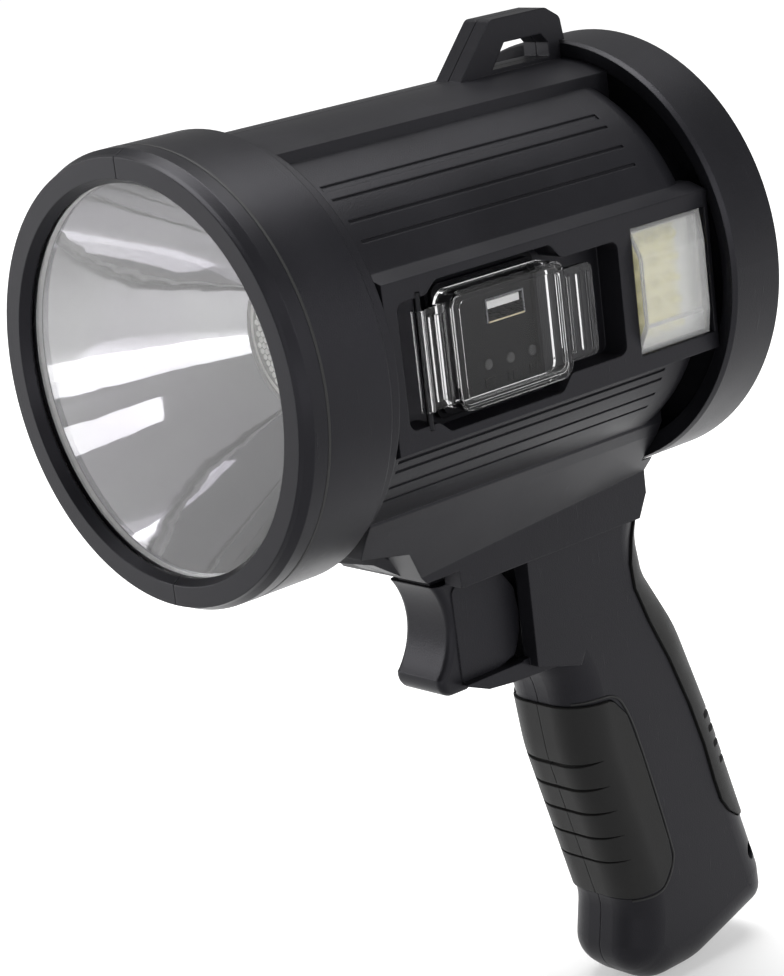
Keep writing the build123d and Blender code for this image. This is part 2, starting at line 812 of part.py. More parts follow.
# Housing: one moulded form, cut for the port, the side light, the trigger and the soft pieces.
with BuildPart() as housing:
    add(barrel_form.part)
    add(saddle.part)
    add(side_pads.part)
    add(keel.part)
    add(bow.part)
    add(loop.part)
    add(grip_root.part)
    add(slab(grip_spots(neck_shares), grip_half))
    add(slab(trigger_spots(ledge_shares), ledge_half))
    add(hollow.part, mode=Mode.SUBTRACT)
    for angle in line_angles:
        for turn in (angle, 180 - angle):
            width = broad_line if angle == line_angles[0] else line_width
            middle = (at(line_start_depth) + at(line_end_depth)) / 2
            with Locations(Location(
                (barrel_r * cos(radians(turn)), middle, barrel_r * sin(radians(turn))), (0, -turn, 0)
            )):
                Box(2 * line_depth, line_end_depth - line_start_depth, width, mode=Mode.SUBTRACT)
    extrude(port_mouth.sketch, amount=pad_x - port_floor_x + overrun, mode=Mode.SUBTRACT)
    add(block(
        (port_floor_x, pad_x + overrun), (at(side_start_depth), at(side_end_depth)), (-side_half, side_half)
    ), mode=Mode.SUBTRACT)
    add(block(
        (block_inner_x - overrun, pad_x),
        (usb_y - usb_half_y - pin_play, usb_y + usb_half_y + pin_play),
        (usb_z - usb_half_z - pin_play, usb_z + usb_half_z + pin_play),
    ), mode=Mode.SUBTRACT)
    add(rod(
        hinge_pin_r + pin_play,
        (hinge_x, hinge_y, -port_halves[0] - hinge_pin_bite),
        (hinge_x, hinge_y, port_halves[0] + hinge_pin_bite),
    ), mode=Mode.SUBTRACT)
    add(slab(trigger_spots(window_shares), flank_x + overrun), mode=Mode.SUBTRACT)
    add(slab(trigger_spots(pocket_shares), pocket_half), mode=Mode.SUBTRACT)
    add(slab(trigger_spots(lug_room_shares), lug_half + fit), mode=Mode.SUBTRACT)
    add(block(
        (-finger_half - 2 * fit, finger_half + 2 * fit),
        (toe_slot[0][0], toe_slot[1][0]), (toe_slot[1][1], toe_slot[0][1]),
    ), mode=Mode.SUBTRACT)
    add(rod(
        trigger_pin_r + pin_play,
        (-trigger_pin_half - fit, pin_y, trigger_z),
        (trigger_pin_half + fit, pin_y, trigger_z),
    ), mode=Mode.SUBTRACT)
    add(rod(
        plunger_r + pin_play, (0, plunger_tip_y, plunger_z), (0, switch_y + fit, plunger_z)
    ), mode=Mode.SUBTRACT)
    add(rod(eye_r, (-grip_half, eye_y, eye_z), (grip_half, eye_y, eye_z)), mode=Mode.SUBTRACT)
    for place_y, place_z in screw_places:
        add(rod(
            well_r, (-2 * grip_half, place_y, place_z), (well_floor_x, place_y, place_z)
        ), mode=Mode.SUBTRACT)
        add(rod(
            screw_r + pin_play, (well_floor_x, place_y, place_z), (screw_reach_x + fit, place_y, place_z)
        ), mode=Mode.SUBTRACT)
    with BuildSketch(Plane.XZ.offset(-at(ring_floor_depth))):
        with PolarLocations(rear_screw_ring_r, rear_screw_count, start_angle=45):
            Circle(screw_r + pin_play)
    extrude(amount=screw_bite + fit, mode=Mode.SUBTRACT)

with BuildPart() as soft_room:
    add(slab(grip_spots(pad_shares), 2 * grip_half, bend=pad_bend, grow=soft_gap - fit))
    add(slab(grip_spots(strap_shares), 2 * grip_half, grow=soft_gap - fit))
    add(grip_form(-soft_sunk), mode=Mode.SUBTRACT)
halves(housing.part, "housing", seam, cut=soft_room.part)

with BuildPart() as housing_screws:
    for place_y, place_z in screw_places:
        add(rod(screw_r, (well_floor_x, place_y, place_z), (screw_reach_x, place_y, place_z)))
        add(rod(
            screw_head_r, (well_floor_x - screw_head, place_y, place_z), (well_floor_x, place_y, place_z)
        ))
save(housing_screws.part, "housing_screws")

# Soft finger pads: a skin of the grip's form inside the pad outline, with grooves for the fingers.
with BuildPart() as finger_pad:
    add(slab(grip_spots(pad_shares), 2 * grip_half, bend=pad_bend, grow=-fit))
    add(grip_form(soft_proud), mode=Mode.INTERSECT)
    add(grip_form(fit - soft_sunk), mode=Mode.SUBTRACT)
    with BuildPart(mode=Mode.PRIVATE) as finger_grooves:
        for end_y, groove_z in grip_spots(groove_shares):
            start_y = at(grip_front_depth - overrun)
            dip_y = start_y + groove_dip_share * (end_y - start_y)
            add(slab((
                (start_y, groove_z + groove_width / 2), (start_y, groove_z - groove_width / 2),
                (dip_y, groove_z - groove_dip - groove_width / 2), (end_y, groove_z + groove_lift),
                (dip_y, groove_z - groove_dip + groove_width / 2),
            ), 2 * grip_half))
        add(grip_form(-groove_sunk), mode=Mode.SUBTRACT)
    add(finger_grooves.part, mode=Mode.SUBTRACT)
halves(finger_pad.part, "grip_pad", seam)

with BuildPart() as back_strap:
    add(slab(grip_spots(strap_shares), 2 * grip_half, grow=-fit))
    add(grip_form(soft_proud), mode=Mode.INTERSECT)
    add(grip_form(fit - soft_sunk), mode=Mode.SUBTRACT)
    with BuildPart(mode=Mode.PRIVATE) as strap_grooves:
        for start_y, groove_z in grip_spots(rib_shares):
            add(block(
                (-2 * grip_half, 2 * grip_half), (start_y, at(grip_front_depth + 1.2 * grip_run)),
                (groove_z - groove_width / 2, groove_z + groove_width / 2),
            ))
        add(grip_form(-groove_sunk), mode=Mode.SUBTRACT)
    add(strap_grooves.part, mode=Mode.SUBTRACT)
save(back_strap.part, "back_strap")

# Trigger: a hollowed finger face in front, wide cheeks behind it and a lug round the pin.
with BuildPart() as trigger:
    with BuildSketch(Plane.YZ) as finger_outline:
        with BuildLine():
            ThreePointArc(*trigger_spots(finger_arc_shares))
            ThreePointArc(*trigger_spots(toe_arc_shares))
            Polyline(*trigger_spots(finger_back_shares))
        make_face()
    extrude(amount=finger_half, both=True)
    face_edges = [
        edge for edge in trigger.edges().filter_by(GeomType.CIRCLE)
        if abs(edge.center().X) > finger_half - seam
    ]
    fillet(face_edges, radius=finger_round)
    add(slab(trigger_spots(cheek_shares), cheek_half, bend=cheek_bend))
    add(rod(lug_r, (-lug_half, pin_y, trigger_z), (lug_half, pin_y, trigger_z)))
    add(block(
        (-lug_half, lug_half), (pin_y - lug_r, pin_y + lug_r), (trigger_z - trigger_drop / 5, trigger_z)
    ))
    add(rod(
        trigger_pin_r + pin_play, (-cheek_half, pin_y, trigger_z), (cheek_half, pin_y, trigger_z)
    ), mode=Mode.SUBTRACT)
save(trigger.part, "trigger")

with BuildPart() as trigger_pin:
    add(rod(trigger_pin_r, (-trigger_pin_half, pin_y, trigger_z), (trigger_pin_half, pin_y, trigger_z)))
save(trigger_pin.part, "trigger_pin")

with BuildPart() as switch_plunger:
    add(rod(plunger_r, (0, plunger_tip_y, plunger_z), (0, plunger_tip_y + plunger_length, plunger_z)))
save(switch_plunger.part, "switch_plunger")

with BuildPart() as switch_body:
    add(block(
        (-switch_size[0] / 2, switch_size[0] / 2),
        (switch_y, switch_y + switch_size[1]),
        (plunger_z - switch_size[2] / 2, plunger_z + switch_size[2] / 2),
    ))
    add(rod(
        plunger_r + pin_play,
        (0, switch_y - fit, plunger_z), (0, switch_y + switch_size[1] - switch_floor, plunger_z),
    ), mode=Mode.SUBTRACT)
save(switch_body.part, "switch_body")

# Rear cup: it stands clear of the barrel's rounded shoulder and leaves a deep ring gap round it.
ring_floor_end = ring_floor_depth + ring_floor
rear_screw_spots = {"radius": rear_screw_ring_r, "count": rear_screw_count, "start_angle": 45}
with BuildPart() as rear_ring:
    add(turned((
        (ring_bore_r, ring_lip_depth),
        (ring_lip_r, ring_front_depth),
        (ring_r, ring_lip_depth),
        (ring_r, length - edge_break),
        (ring_r - edge_break, length),
        (rear_pocket_r, length),
        (rear_pocket_r, ring_floor_end),
        (wire_hole_r, ring_floor_end),
        (wire_hole_r, ring_floor_depth),
        (ring_bore_r, ring_floor_depth),
    )))
    with BuildSketch(Plane.XZ.offset(-at(ring_floor_end))):
        with PolarLocations(**rear_screw_spots):
            Circle(screw_r + pin_play)
    extrude(amount=ring_floor, mode=Mode.SUBTRACT)
    with BuildSketch(Plane.XZ.offset(-at(ring_floor_end))):
        with PolarLocations(**rear_screw_spots):
            Circle(screw_head_r + fit)
    extrude(amount=screw_head + fit, mode=Mode.SUBTRACT)
save(rear_ring.part, "rear_ring")

with BuildPart() as rear_screws:
    with BuildSketch(Plane.XZ.offset(-at(ring_floor_end - fit))):
        with PolarLocations(**rear_screw_spots):
            Circle(screw_head_r)
    extrude(amount=screw_head)
    with BuildSketch(Plane.XZ.offset(-at(ring_floor_end - fit - screw_head))):
        with PolarLocations(**rear_screw_spots):
            Circle(screw_r)
    extrude(amount=ring_floor - screw_head + screw_bite - fit)
save(rear_screws.part, "rear_screws")

with BuildPart() as solar_panel:
    add(disc(panel_r, ring_floor_end, ring_floor_end + panel_thickness))
save(solar_panel.part, "solar_panel")

with BuildPart() as rear_gasket:
    add(disc(rear_window_r, ring_floor_end, ring_floor_end + panel_thickness, panel_r + fit))
save(rear_gasket.part, "rear_gasket")

with BuildPart() as rear_window:
    add(disc(rear_window_r, ring_floor_end + panel_thickness, length))
save(rear_window.part, "rear_window")

# Port panel with a low rim, a socket mouth and holes for three indicator lenses.
lamp_places = [(at(lamp_depth) + i * lamp_pitch, lamp_z) for i in (-1, 0, 1)]
panel_x = port_floor_x + panel_plate
panel_length = panel_end_depth - panel_start_depth
with BuildPart() as port_panel:
    with BuildSketch(Plane.YZ.offset(port_floor_x)):
        with Locations((at((panel_start_depth + panel_end_depth) / 2), 0)):
            RectangleRounded(panel_length, 2 * panel_half, port_bend)
    extrude(amount=panel_plate)
    with BuildSketch(Plane.YZ.offset(panel_x)):
        with Locations((at((panel_start_depth + panel_end_depth) / 2), 0)):
            RectangleRounded(
                panel_length - 2 * panel_rim_inset, 2 * (panel_half - panel_rim_inset), port_bend
            )
            RectangleRounded(
                panel_length - 2 * panel_rim_inset - 2 * panel_rim,
                2 * (panel_half - panel_rim_inset - panel_rim), port_bend - panel_rim, mode=Mode.SUBTRACT
            )
    extrude(amount=panel_rim_rise)
    with BuildSketch(Plane.YZ.offset(port_floor_x)):
        with Locations((at(usb_depth), usb_z)):
            Rectangle(2 * (usb_half_y + pin_play), 2 * (usb_half_z + pin_play))
        with Locations(*lamp_places):
            Circle(lamp_r + pin_play)
    extrude(amount=panel_plate, mode=Mode.SUBTRACT)
save(port_panel.part, "port_panel")

usb_mouth_x = panel_x + usb_proud
with BuildPart() as usb_socket:
    add(block(
        (usb_mouth_x - usb_length, usb_mouth_x), (usb_y - usb_half_y, usb_y + usb_half_y),
        (usb_z - usb_half_z, usb_z + usb_half_z),
    ))
    add(block(
        (usb_mouth_x - usb_length + 2 * usb_shell, usb_mouth_x + overrun),
        (usb_y - usb_width / 2, usb_y + usb_width / 2), (usb_z - usb_height / 2, usb_z + usb_height / 2),
    ), mode=Mode.SUBTRACT)
save(usb_socket.part, "usb_socket")

with BuildPart() as usb_tongue:
    add(block(
        (usb_mouth_x - usb_length + 2 * usb_shell, usb_mouth_x - tongue_short),
        (usb_y - tongue_width / 2, usb_y + tongue_width / 2),
        (usb_z + usb_height / 2 - usb_shell - tongue_thickness, usb_z + usb_height / 2 - usb_shell),
    ))
save(usb_tongue.part, "usb_tongue")

with BuildPart() as indicator_lenses:
    for lamp_y, place_z in lamp_places:
        add(rod(lamp_r, (port_floor_x, lamp_y, place_z), (panel_x + lamp_proud, lamp_y, place_z)))
save(indicator_lenses.part, "indicator_lenses")


def ribs(start_depth, end_depth, count, half):
    """Low upright ribs spread evenly over a tab of the cover."""
    pitch = (end_depth - start_depth) / count
    with BuildPart() as body:
        with BuildSketch(Plane.YZ.offset(tab_x + tab_thickness)):
            with Locations(*[(at(start_depth + (i + 0.5) * pitch), 0) for i in range(count)]):
                Rectangle(tab_rib, 2 * half - 2 * tab_bend)
        extrude(amount=tab_rib_rise)
    return body.part


# Clear cover: a raised box over the socket, a ribbed tab to lift it by and a knuckle at the front.
cover_middle = (at((cover_start_depth + cover_end_depth) / 2), 0)
cover_length = cover_end_depth - cover_start_depth
front_tab_length = cover_start_depth - front_tab_depth + cover_wall
rear_tab_length = rear_tab_depth - cover_end_depth + cover_wall
with BuildPart() as port_cover:
    with BuildSketch(Plane.YZ.offset(cover_base_x)):
        with Locations(cover_middle):
            RectangleRounded(cover_length, 2 * cover_half, cover_bend)
    extrude(amount=cover_top_x - cover_base_x)
    chamfer(port_cover.faces().sort_by(Axis.X)[-1].outer_wire().edges(), length=cover_step)
    with BuildSketch(Plane.YZ.offset(tab_x)):
        with Locations((at(front_tab_depth) + front_tab_length / 2, 0)):
            Rectangle(front_tab_length, 2 * front_tab_half)
        with Locations((at(rear_tab_depth) - rear_tab_length / 2, 0)):
            RectangleRounded(rear_tab_length, 2 * rear_tab_half, tab_bend)
    extrude(amount=tab_thickness)
    with BuildSketch(Plane.YZ.offset(cover_base_x - overrun)):
        with Locations(cover_middle):
            RectangleRounded(
                cover_length - 2 * cover_wall, 2 * (cover_half - cover_wall), cover_bend - cover_wall
            )
    extrude(amount=cover_top_x - cover_wall - cover_base_x + overrun, mode=Mode.SUBTRACT)
    with BuildSketch(Plane.YZ.offset(cover_top_x - cover_step)):
        with Locations(cover_middle):
            RectangleRounded(
                cover_length - 2 * cover_step_inset, 2 * (cover_half - cover_step_inset), cover_bend / 2
            )
    extrude(amount=cover_step, mode=Mode.SUBTRACT)
    add(ribs(front_tab_depth + knuckle_r, cover_start_depth, front_rib_count, front_tab_half))
    add(ribs(cover_end_depth, rear_tab_depth, rear_rib_count, rear_tab_half))
    add(rod(knuckle_r, (hinge_x, hinge_y, -front_tab_half), (hinge_x, hinge_y, front_tab_half)))
    add(rod(
        hinge_pin_r + pin_play, (hinge_x, hinge_y, -cover_half), (hinge_x, hinge_y, cover_half)
    ), mode=Mode.SUBTRACT)
save(port_cover.part, "port_cover")

hinge_pin_half = port_halves[0] + hinge_pin_bite - fit
with BuildPart() as cover_hinge_pin:
    add(rod(hinge_pin_r, (hinge_x, hinge_y, -hinge_pin_half), (hinge_x, hinge_y, hinge_pin_half)))
save(cover_hinge_pin.part, "cover_hinge_pin")


def side_lens_form(inset, start_x):
    """The faceted side lens: flat face, sloped top and bottom, and a long bevel at the rear."""
    half = side_half - fit - inset
    face_half = side_face_half - inset / 2
    with BuildPart() as body:
        with BuildSketch(Plane.XZ.offset(-at(side_start_depth + fit + inset))):
            with BuildLine():
                Polyline(
                    (start_x, half), (side_edge_x - inset, half),
                    (side_lens_x - inset, face_half), (side_lens_x - inset, -face_half),
                    (side_edge_x - inset, -half), (start_x, -half), close=True,
                )
            make_face()
        extrude(amount=-(side_end_depth - side_start_depth - 2 * fit - 2 * inset))
        with BuildSketch(Plane.XY):
            with BuildLine():
                Polyline(
                    (side_bevel_x - inset, at(side_end_depth)), (side_lens_x + overrun, at(side_end_depth)),
                    (side_lens_x + overrun, at(side_end_depth - side_bevel - inset)),
                    (side_lens_x - inset, at(side_end_depth - side_bevel - inset)), close=True,
                )
            make_face()
        extrude(amount=side_half, both=True, mode=Mode.SUBTRACT)
    return body.part


side_board_x = port_floor_x + board_thickness
with BuildPart() as side_lens:
    add(side_lens_form(0, side_board_x))
    add(side_lens_form(side_lens_wall, side_board_x - overrun), mode=Mode.SUBTRACT)
save(side_lens.part, "side_lens")

with BuildPart() as side_led_board:
    add(block(
        (port_floor_x, side_board_x), (at(side_start_depth + fit), at(side_end_depth - fit)),
        (-side_half + fit, side_half - fit),
    ))
save(side_led_board.part, "side_led_board")

with BuildPart() as side_leds:
    with BuildSketch(Plane.YZ.offset(side_board_x)):
        with Locations((at(side_led_depth), 0)):
            Rectangle(
                side_led_columns * side_led_column_pitch,
                (side_led_rows - 1) * side_led_row_pitch + side_led + 2 * side_led_margin,
            )
    extrude(amount=side_led_sheet)
    with BuildSketch(Plane.YZ.offset(side_board_x + side_led_sheet)):
        with Locations((at(side_led_depth), 0)):
            with GridLocations(side_led_column_pitch, side_led_row_pitch, side_led_columns, side_led_rows):
                Rectangle(side_led, side_led)
    extrude(amount=side_led_rise)
save(side_leds.part, "side_leds")

# Battery: cells side by side on a tray across the barrel, and the control board beside them.
tray_end_depth = cell_start_depth + cell_length
board_x = usb_mouth_x - usb_length
with BuildPart() as battery_cells:
    for i in range(cell_count):
        cell_x = (i - (cell_count - 1) / 2) * cell_pitch
        add(rod(
            cell_r,
            (cell_x, at(cell_start_depth), tray_z + cell_r),
            (cell_x, at(tray_end_depth), tray_z + cell_r),
        ))
save(battery_cells.part, "battery_cells")

tray_reach = sqrt(hollow_r**2 - (tray_z - tray_plate) ** 2) - fit
tray_right_x = board_x - board_thickness - fit
with BuildPart() as battery_tray:
    add(block(
        (-tray_reach, tray_right_x), (at(cell_start_depth), at(hollow_end_depth - tray_plate)),
        (tray_z - tray_plate, tray_z),
    ))
    add(block(
        (-tray_right_x, tray_right_x), (at(cell_start_depth - tray_plate), at(cell_start_depth)),
        (tray_z - tray_plate, tray_z + tray_wall),
    ))
save(battery_tray.part, "battery_tray")

with BuildPart() as main_board:
    add(block(
        (board_x - board_thickness, board_x), (at(main_board_depths[0]), at(main_board_depths[1])),
        (-main_board_half, main_board_half),
    ))
save(main_board.part, "main_board")

with BuildPart() as board_parts:
    middle_y = at((usb_depth + main_board_depths[1]) / 2)
    with BuildSketch(Plane.YZ.offset(board_x)):
        with Locations((middle_y + chip_size / 2, 0)):
            with GridLocations(chip_size, chip_pitch * 0.8, 1, chip_count):
                Rectangle(chip_size, chip_size)
    extrude(amount=chip_rise)
save(board_parts.part, "board_parts")
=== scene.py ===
# %% [markdown]
# # A handheld searchlight, dressed for a studio picture
#
# The object is a black searchlight with a wide round head, a pistol grip with a trigger, a small side light
# and a socket under a clear hinged cover. Its solid pieces come from a CAD model. This lesson gives each of
# them a finish made of shader nodes, models the details that are too fine for CAD, and sets up the camera
# and the light. Everything is in metres: -Y is where the beam goes and +Z is up.

# %% Open the frame
import math

import bmesh
import bpy
from mathutils import Matrix, Vector


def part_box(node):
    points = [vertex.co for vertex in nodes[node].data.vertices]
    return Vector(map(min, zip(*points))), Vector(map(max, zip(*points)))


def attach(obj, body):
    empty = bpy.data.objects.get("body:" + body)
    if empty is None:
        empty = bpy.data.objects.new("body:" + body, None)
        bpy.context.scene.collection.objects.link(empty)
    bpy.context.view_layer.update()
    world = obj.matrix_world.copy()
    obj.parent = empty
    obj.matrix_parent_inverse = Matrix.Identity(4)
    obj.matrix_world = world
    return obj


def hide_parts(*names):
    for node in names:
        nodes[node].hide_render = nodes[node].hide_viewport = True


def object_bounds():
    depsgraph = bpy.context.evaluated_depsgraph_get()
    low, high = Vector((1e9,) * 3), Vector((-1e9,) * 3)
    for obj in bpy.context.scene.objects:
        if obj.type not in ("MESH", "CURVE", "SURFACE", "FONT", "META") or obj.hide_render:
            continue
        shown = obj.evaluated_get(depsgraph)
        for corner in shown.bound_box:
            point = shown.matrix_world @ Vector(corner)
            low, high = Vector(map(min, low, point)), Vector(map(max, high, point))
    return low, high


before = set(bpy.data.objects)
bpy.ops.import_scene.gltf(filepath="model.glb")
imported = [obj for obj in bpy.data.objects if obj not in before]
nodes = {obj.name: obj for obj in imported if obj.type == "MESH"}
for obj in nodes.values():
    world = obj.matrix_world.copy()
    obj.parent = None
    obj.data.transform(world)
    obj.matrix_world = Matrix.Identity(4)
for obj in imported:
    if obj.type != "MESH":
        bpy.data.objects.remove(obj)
cad_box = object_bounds()

# %% [markdown]
# ## The camera
#
# A picture is matched by finding where its camera stood. The three directions below are the camera's right,
# its up and its back, so they are the columns of its rotation. A long lens from almost a metre away keeps
# the head from bulging, as it does in a catalogue picture.

# %% Place the camera
sensor_width = 36.0
focal_pixels = 3000
frame_pixels = 976
camera_place = (0.5628, -0.5788, 0.15881)
camera = bpy.data.objects.new("camera", bpy.data.cameras.new("camera"))
bpy.context.scene.collection.objects.link(camera)
camera_right = Vector((0.67426, 0.72961, -0.11419))
camera_back = Vector((0.72855, -0.63190, 0.26441))
camera_up = camera_back.cross(camera_right)
camera.matrix_world = Matrix.Translation(camera_place) @ Matrix(
    (camera_right, camera_up, camera_back)).transposed().to_4x4()
camera.data.sensor_width = sensor_width
camera.data.lens = sensor_width * focal_pixels / frame_pixels
camera.data.clip_start = 0.05
bpy.context.scene.camera = camera
print("camera stands", round(camera.location.length, 3), "m from the middle of the rear face")

# %% [markdown]
# ## The studio
#
# A black glossy object shows its shape only by what it reflects. Large soft lamps draw broad highlights
# along the barrel, and the mirror bowl shows them as white wedges. The rest of the room stays dim, or the
# black plastic would turn grey. The floor is pale and plain.

# %% Floor, lamps and room
def square(name, size, place):
    """A flat square that lies level at a place."""
    mesh = bpy.data.meshes.new(name)
    half = size / 2
    spots = [(-half, -half, 0), (half, -half, 0), (half, half, 0), (-half, half, 0)]
    mesh.from_pydata(spots, [], [(0, 1, 2, 3)])
    flat = bpy.data.objects.new(name, mesh)
    flat.location = place
    bpy.context.scene.collection.objects.link(flat)
    return flat


def lamp(name, place, width, height, power):
    """A soft rectangular lamp that looks at the object. Its power is in watts."""
    data = bpy.data.lights.new(name, "AREA")
    data.shape = "RECTANGLE"
    data.size = width
    data.size_y = height
    data.energy = power
    made = bpy.data.objects.new(name, data)
    made.location = place
    made.rotation_euler = (middle - made.location).to_track_quat("-Z", "Y").to_euler()
    bpy.context.scene.collection.objects.link(made)
    return made


floor_size = 60.0
floor_gap = 0.0004
room_strength = 0.28
middle = Vector((0, -0.08, -0.03))
floor = square("floor", floor_size, (0, 0, cad_box[0].z - floor_gap))
lamp("lamp_over", (-0.25, 0.25, 1.6), width=1.5, height=1.1, power=36)
lamp("lamp_left", (-1.2, -1.0, 0.55), width=0.7, height=1.2, power=16)
lamp("lamp_right", (1.25, 0.35, 0.45), width=0.45, height=0.8, power=6)
lamp("lamp_low", (0.90, -0.76, -0.02), width=1.2, height=0.36, power=2.6)
lamp("lamp_front", (1.00, -0.55, 0.66), width=0.50, height=0.34, power=1.3)
room = bpy.data.worlds.new("room")
bpy.context.scene.world = room
room.use_nodes = True
room.node_tree.nodes["Background"].inputs["Color"].default_value = (1, 1, 1, 1)
room.node_tree.nodes["Background"].inputs["Strength"].default_value = room_strength
bpy.context.scene.view_settings.view_transform = "Standard"
print("floor at z", round(floor.location.z, 4))

# %% [markdown]
# ## Shader maths that reads as plain Python
#
# Node trees are slow to write link by link. A small class wraps a socket and overloads the operators, so
# that `1 - mask * 0.5` adds its own Math nodes. A second class holds one finish: its material, and the one
# method that adds any other node.

# %% Wire and Finish
class Wire:
    """A socket of a node tree that can be used in an expression."""

    def __init__(self, finish, socket):
        self.finish, self.socket = finish, socket

    def maths(self, operation, first, second):
        return self.finish.maths_of(operation, first, second)

    def __add__(self, other):
        return self.maths("ADD", self, other)

    def __sub__(self, other):
        return self.maths("SUBTRACT", self, other)

    def __rsub__(self, other):
        return self.maths("SUBTRACT", other, self)

    def __mul__(self, other):
        return self.maths("MULTIPLY", self, other)


class Finish:
    """One finish of the searchlight: a material whose shader has its even values set from the start."""

    def __init__(self, name, **even):
        self.material = bpy.data.materials.new(name)
        self.material.use_nodes = True
        self.tree = self.material.node_tree
        self.shader = self.tree.nodes["Principled BSDF"]
        for words, value in even.items():
            self.shader.inputs[words.replace("_", " ")].default_value = value

    def node(self, kind, settings=(), sockets=(), out=0):
        """Adds a node, sets it up, feeds its sockets and hands back one of its outputs."""
        made = self.tree.nodes.new(kind)
        for name, value in dict(settings).items():
            setattr(made, name, value)
        for name, value in dict(sockets).items():
            if isinstance(value, Wire):
                self.tree.links.new(value.socket, made.inputs[name])
            else:
                made.inputs[name].default_value = value
        return Wire(self, made.outputs[out])

    def place(self):
        """Where a point lies on the object, in metres."""
        return self.node("ShaderNodeTexCoord", out="Object")

    def noise(self, per_metre, detail=2.0, rough=0.5, stretch=None):
        """Soft random spots, so many to a metre, and drawn out along an axis by stretch."""
        where = self.place()
        if stretch:
            where = self.node("ShaderNodeMapping", sockets={"Vector": where, "Scale": stretch})
        return self.node("ShaderNodeTexNoise", sockets={
            "Vector": where, "Scale": per_metre, "Detail": detail, "Roughness": rough})

    def between(self, value, low, high, to_low=0.0, to_high=1.0):
        """Stretches the part of a value between low and high to a new range, and cuts off the rest."""
        return self.node("ShaderNodeMapRange", sockets={
            "Value": value, "From Min": low, "From Max": high, "To Min": to_low, "To Max": to_high})

    def mixed(self, share, first, second):
        """A colour between two. Sockets 6 and 7 of the node are its colours, and so is output 2."""
        return self.node(
            "ShaderNodeMix", {"data_type": "RGBA"}, {"Factor": share, 6: first, 7: second}, out=2)

    def maths_of(self, operation, first, second):
        """One Math node."""
        return self.node("ShaderNodeMath", {"operation": operation}, {0: first, 1: second})

    def feed(self, **wires):
        """Links what changes over the surface to the shader."""
        for words, wire in wires.items():
            self.tree.links.new(wire.socket, self.shader.inputs[words.replace("_", " ")])

    def relief(self, height, depth, soften=0.0):
        """Bumps of that depth in metres, over edges softened by a small radius."""
        sockets = {"Height": height, "Distance": depth, "Strength": 1.0}
        if soften:
            sockets["Normal"] = self.node("ShaderNodeBevel", {"samples": 4}, {"Radius": soften})
        self.feed(Normal=self.node("ShaderNodeBump", sockets=sockets))


def grey(value, warm=0.0):
    """A grey that turns a little yellow where warm is above nought, and blue where it is below."""
    return (value * (1 + warm), value * (1 + warm), value * (1 - warm), 1)


def dress(finish, *names):
    """Gives a finish to solids of the frame."""
    for name in names:
        nodes[name].data.materials.clear()
        nodes[name].data.materials.append(finish.material)
    print(finish.material.name, "on", ", ".join(names))


# %% [markdown]
# ## The floor
#
# A pale sheet fills the picture behind the object. It is lit from below as well, as a light table is, so it
# stays white all the way back. Only a pool in front of the lamp head gets no such light: the mirror and the
# black plastic reflect that pool, and they would look milky if it were as bright.

# %% A pale floor
table_strength = 0.80
table_start = -0.16
table_full = 0.16
pool_r = 0.75
pool_edge_r = 1.5
backwards = (-0.755, 0.655, 0)
sheet = Finish("pale_sheet", Emission_Strength=table_strength, Roughness=0.9)
away = sheet.node("ShaderNodeVectorMath", {"operation": "DOT_PRODUCT"}, {0: sheet.place(), 1: backwards}, 1)
reach = sheet.node("ShaderNodeVectorMath", {"operation": "LENGTH"}, {0: sheet.place()}, 1)
pool = (1 - sheet.between(away, table_start, table_full)) * (1 - sheet.between(reach, pool_r, pool_edge_r))
sheet.feed(
    Base_Color=sheet.mixed(sheet.noise(9, 2), grey(0.58), grey(0.61)),
    Emission_Color=sheet.mixed(pool, grey(1), grey(0)),
)
floor.data.materials.append(sheet.material)

# %% [markdown]
# ## Black moulded plastic
#
# The housing is moulded in a spark-eroded tool, which leaves a fine even grain that breaks up reflections.
# Handling polishes it in places and leaves faint hairline scratches. Fine noise drives the bump, and broad
# noise varies the roughness, so that no highlight is perfectly clean. A bevel node softens the edges of the
# solids, because a moulded edge is never sharp and always catches a thin line of light.

# %% The plastics of the body
plastic_warmth = -0.10
plastic_tint = (0.92, 0.90, 1.0, 1)


def moulded(name, shade, smooth, grain_depth, grain_size=2600.0, soften=0.0005, gloss=0.23):
    """Black plastic with moulding grain, polished patches and hairline scratches."""
    finish = Finish(name, IOR=1.47, Specular_IOR_Level=gloss, Specular_Tint=plastic_tint)
    broad = finish.noise(38, 3)
    grain = finish.noise(grain_size, 2, 0.55)
    hairs = finish.between(finish.noise(170, 4, 0.6, stretch=(0.25, 5.0, 0.9)), 0.66, 0.70)
    finish.feed(
        Base_Color=finish.mixed(
            finish.between(broad, 0.3, 0.7), grey(shade, plastic_warmth), grey(shade * 1.35, plastic_warmth)),
        Roughness=finish.between(broad, 0.3, 0.7, smooth, smooth + 0.08) - hairs * 0.05 + grain * 0.04,
    )
    finish.relief(grain + hairs * 0.3, grain_depth, soften)
    return finish


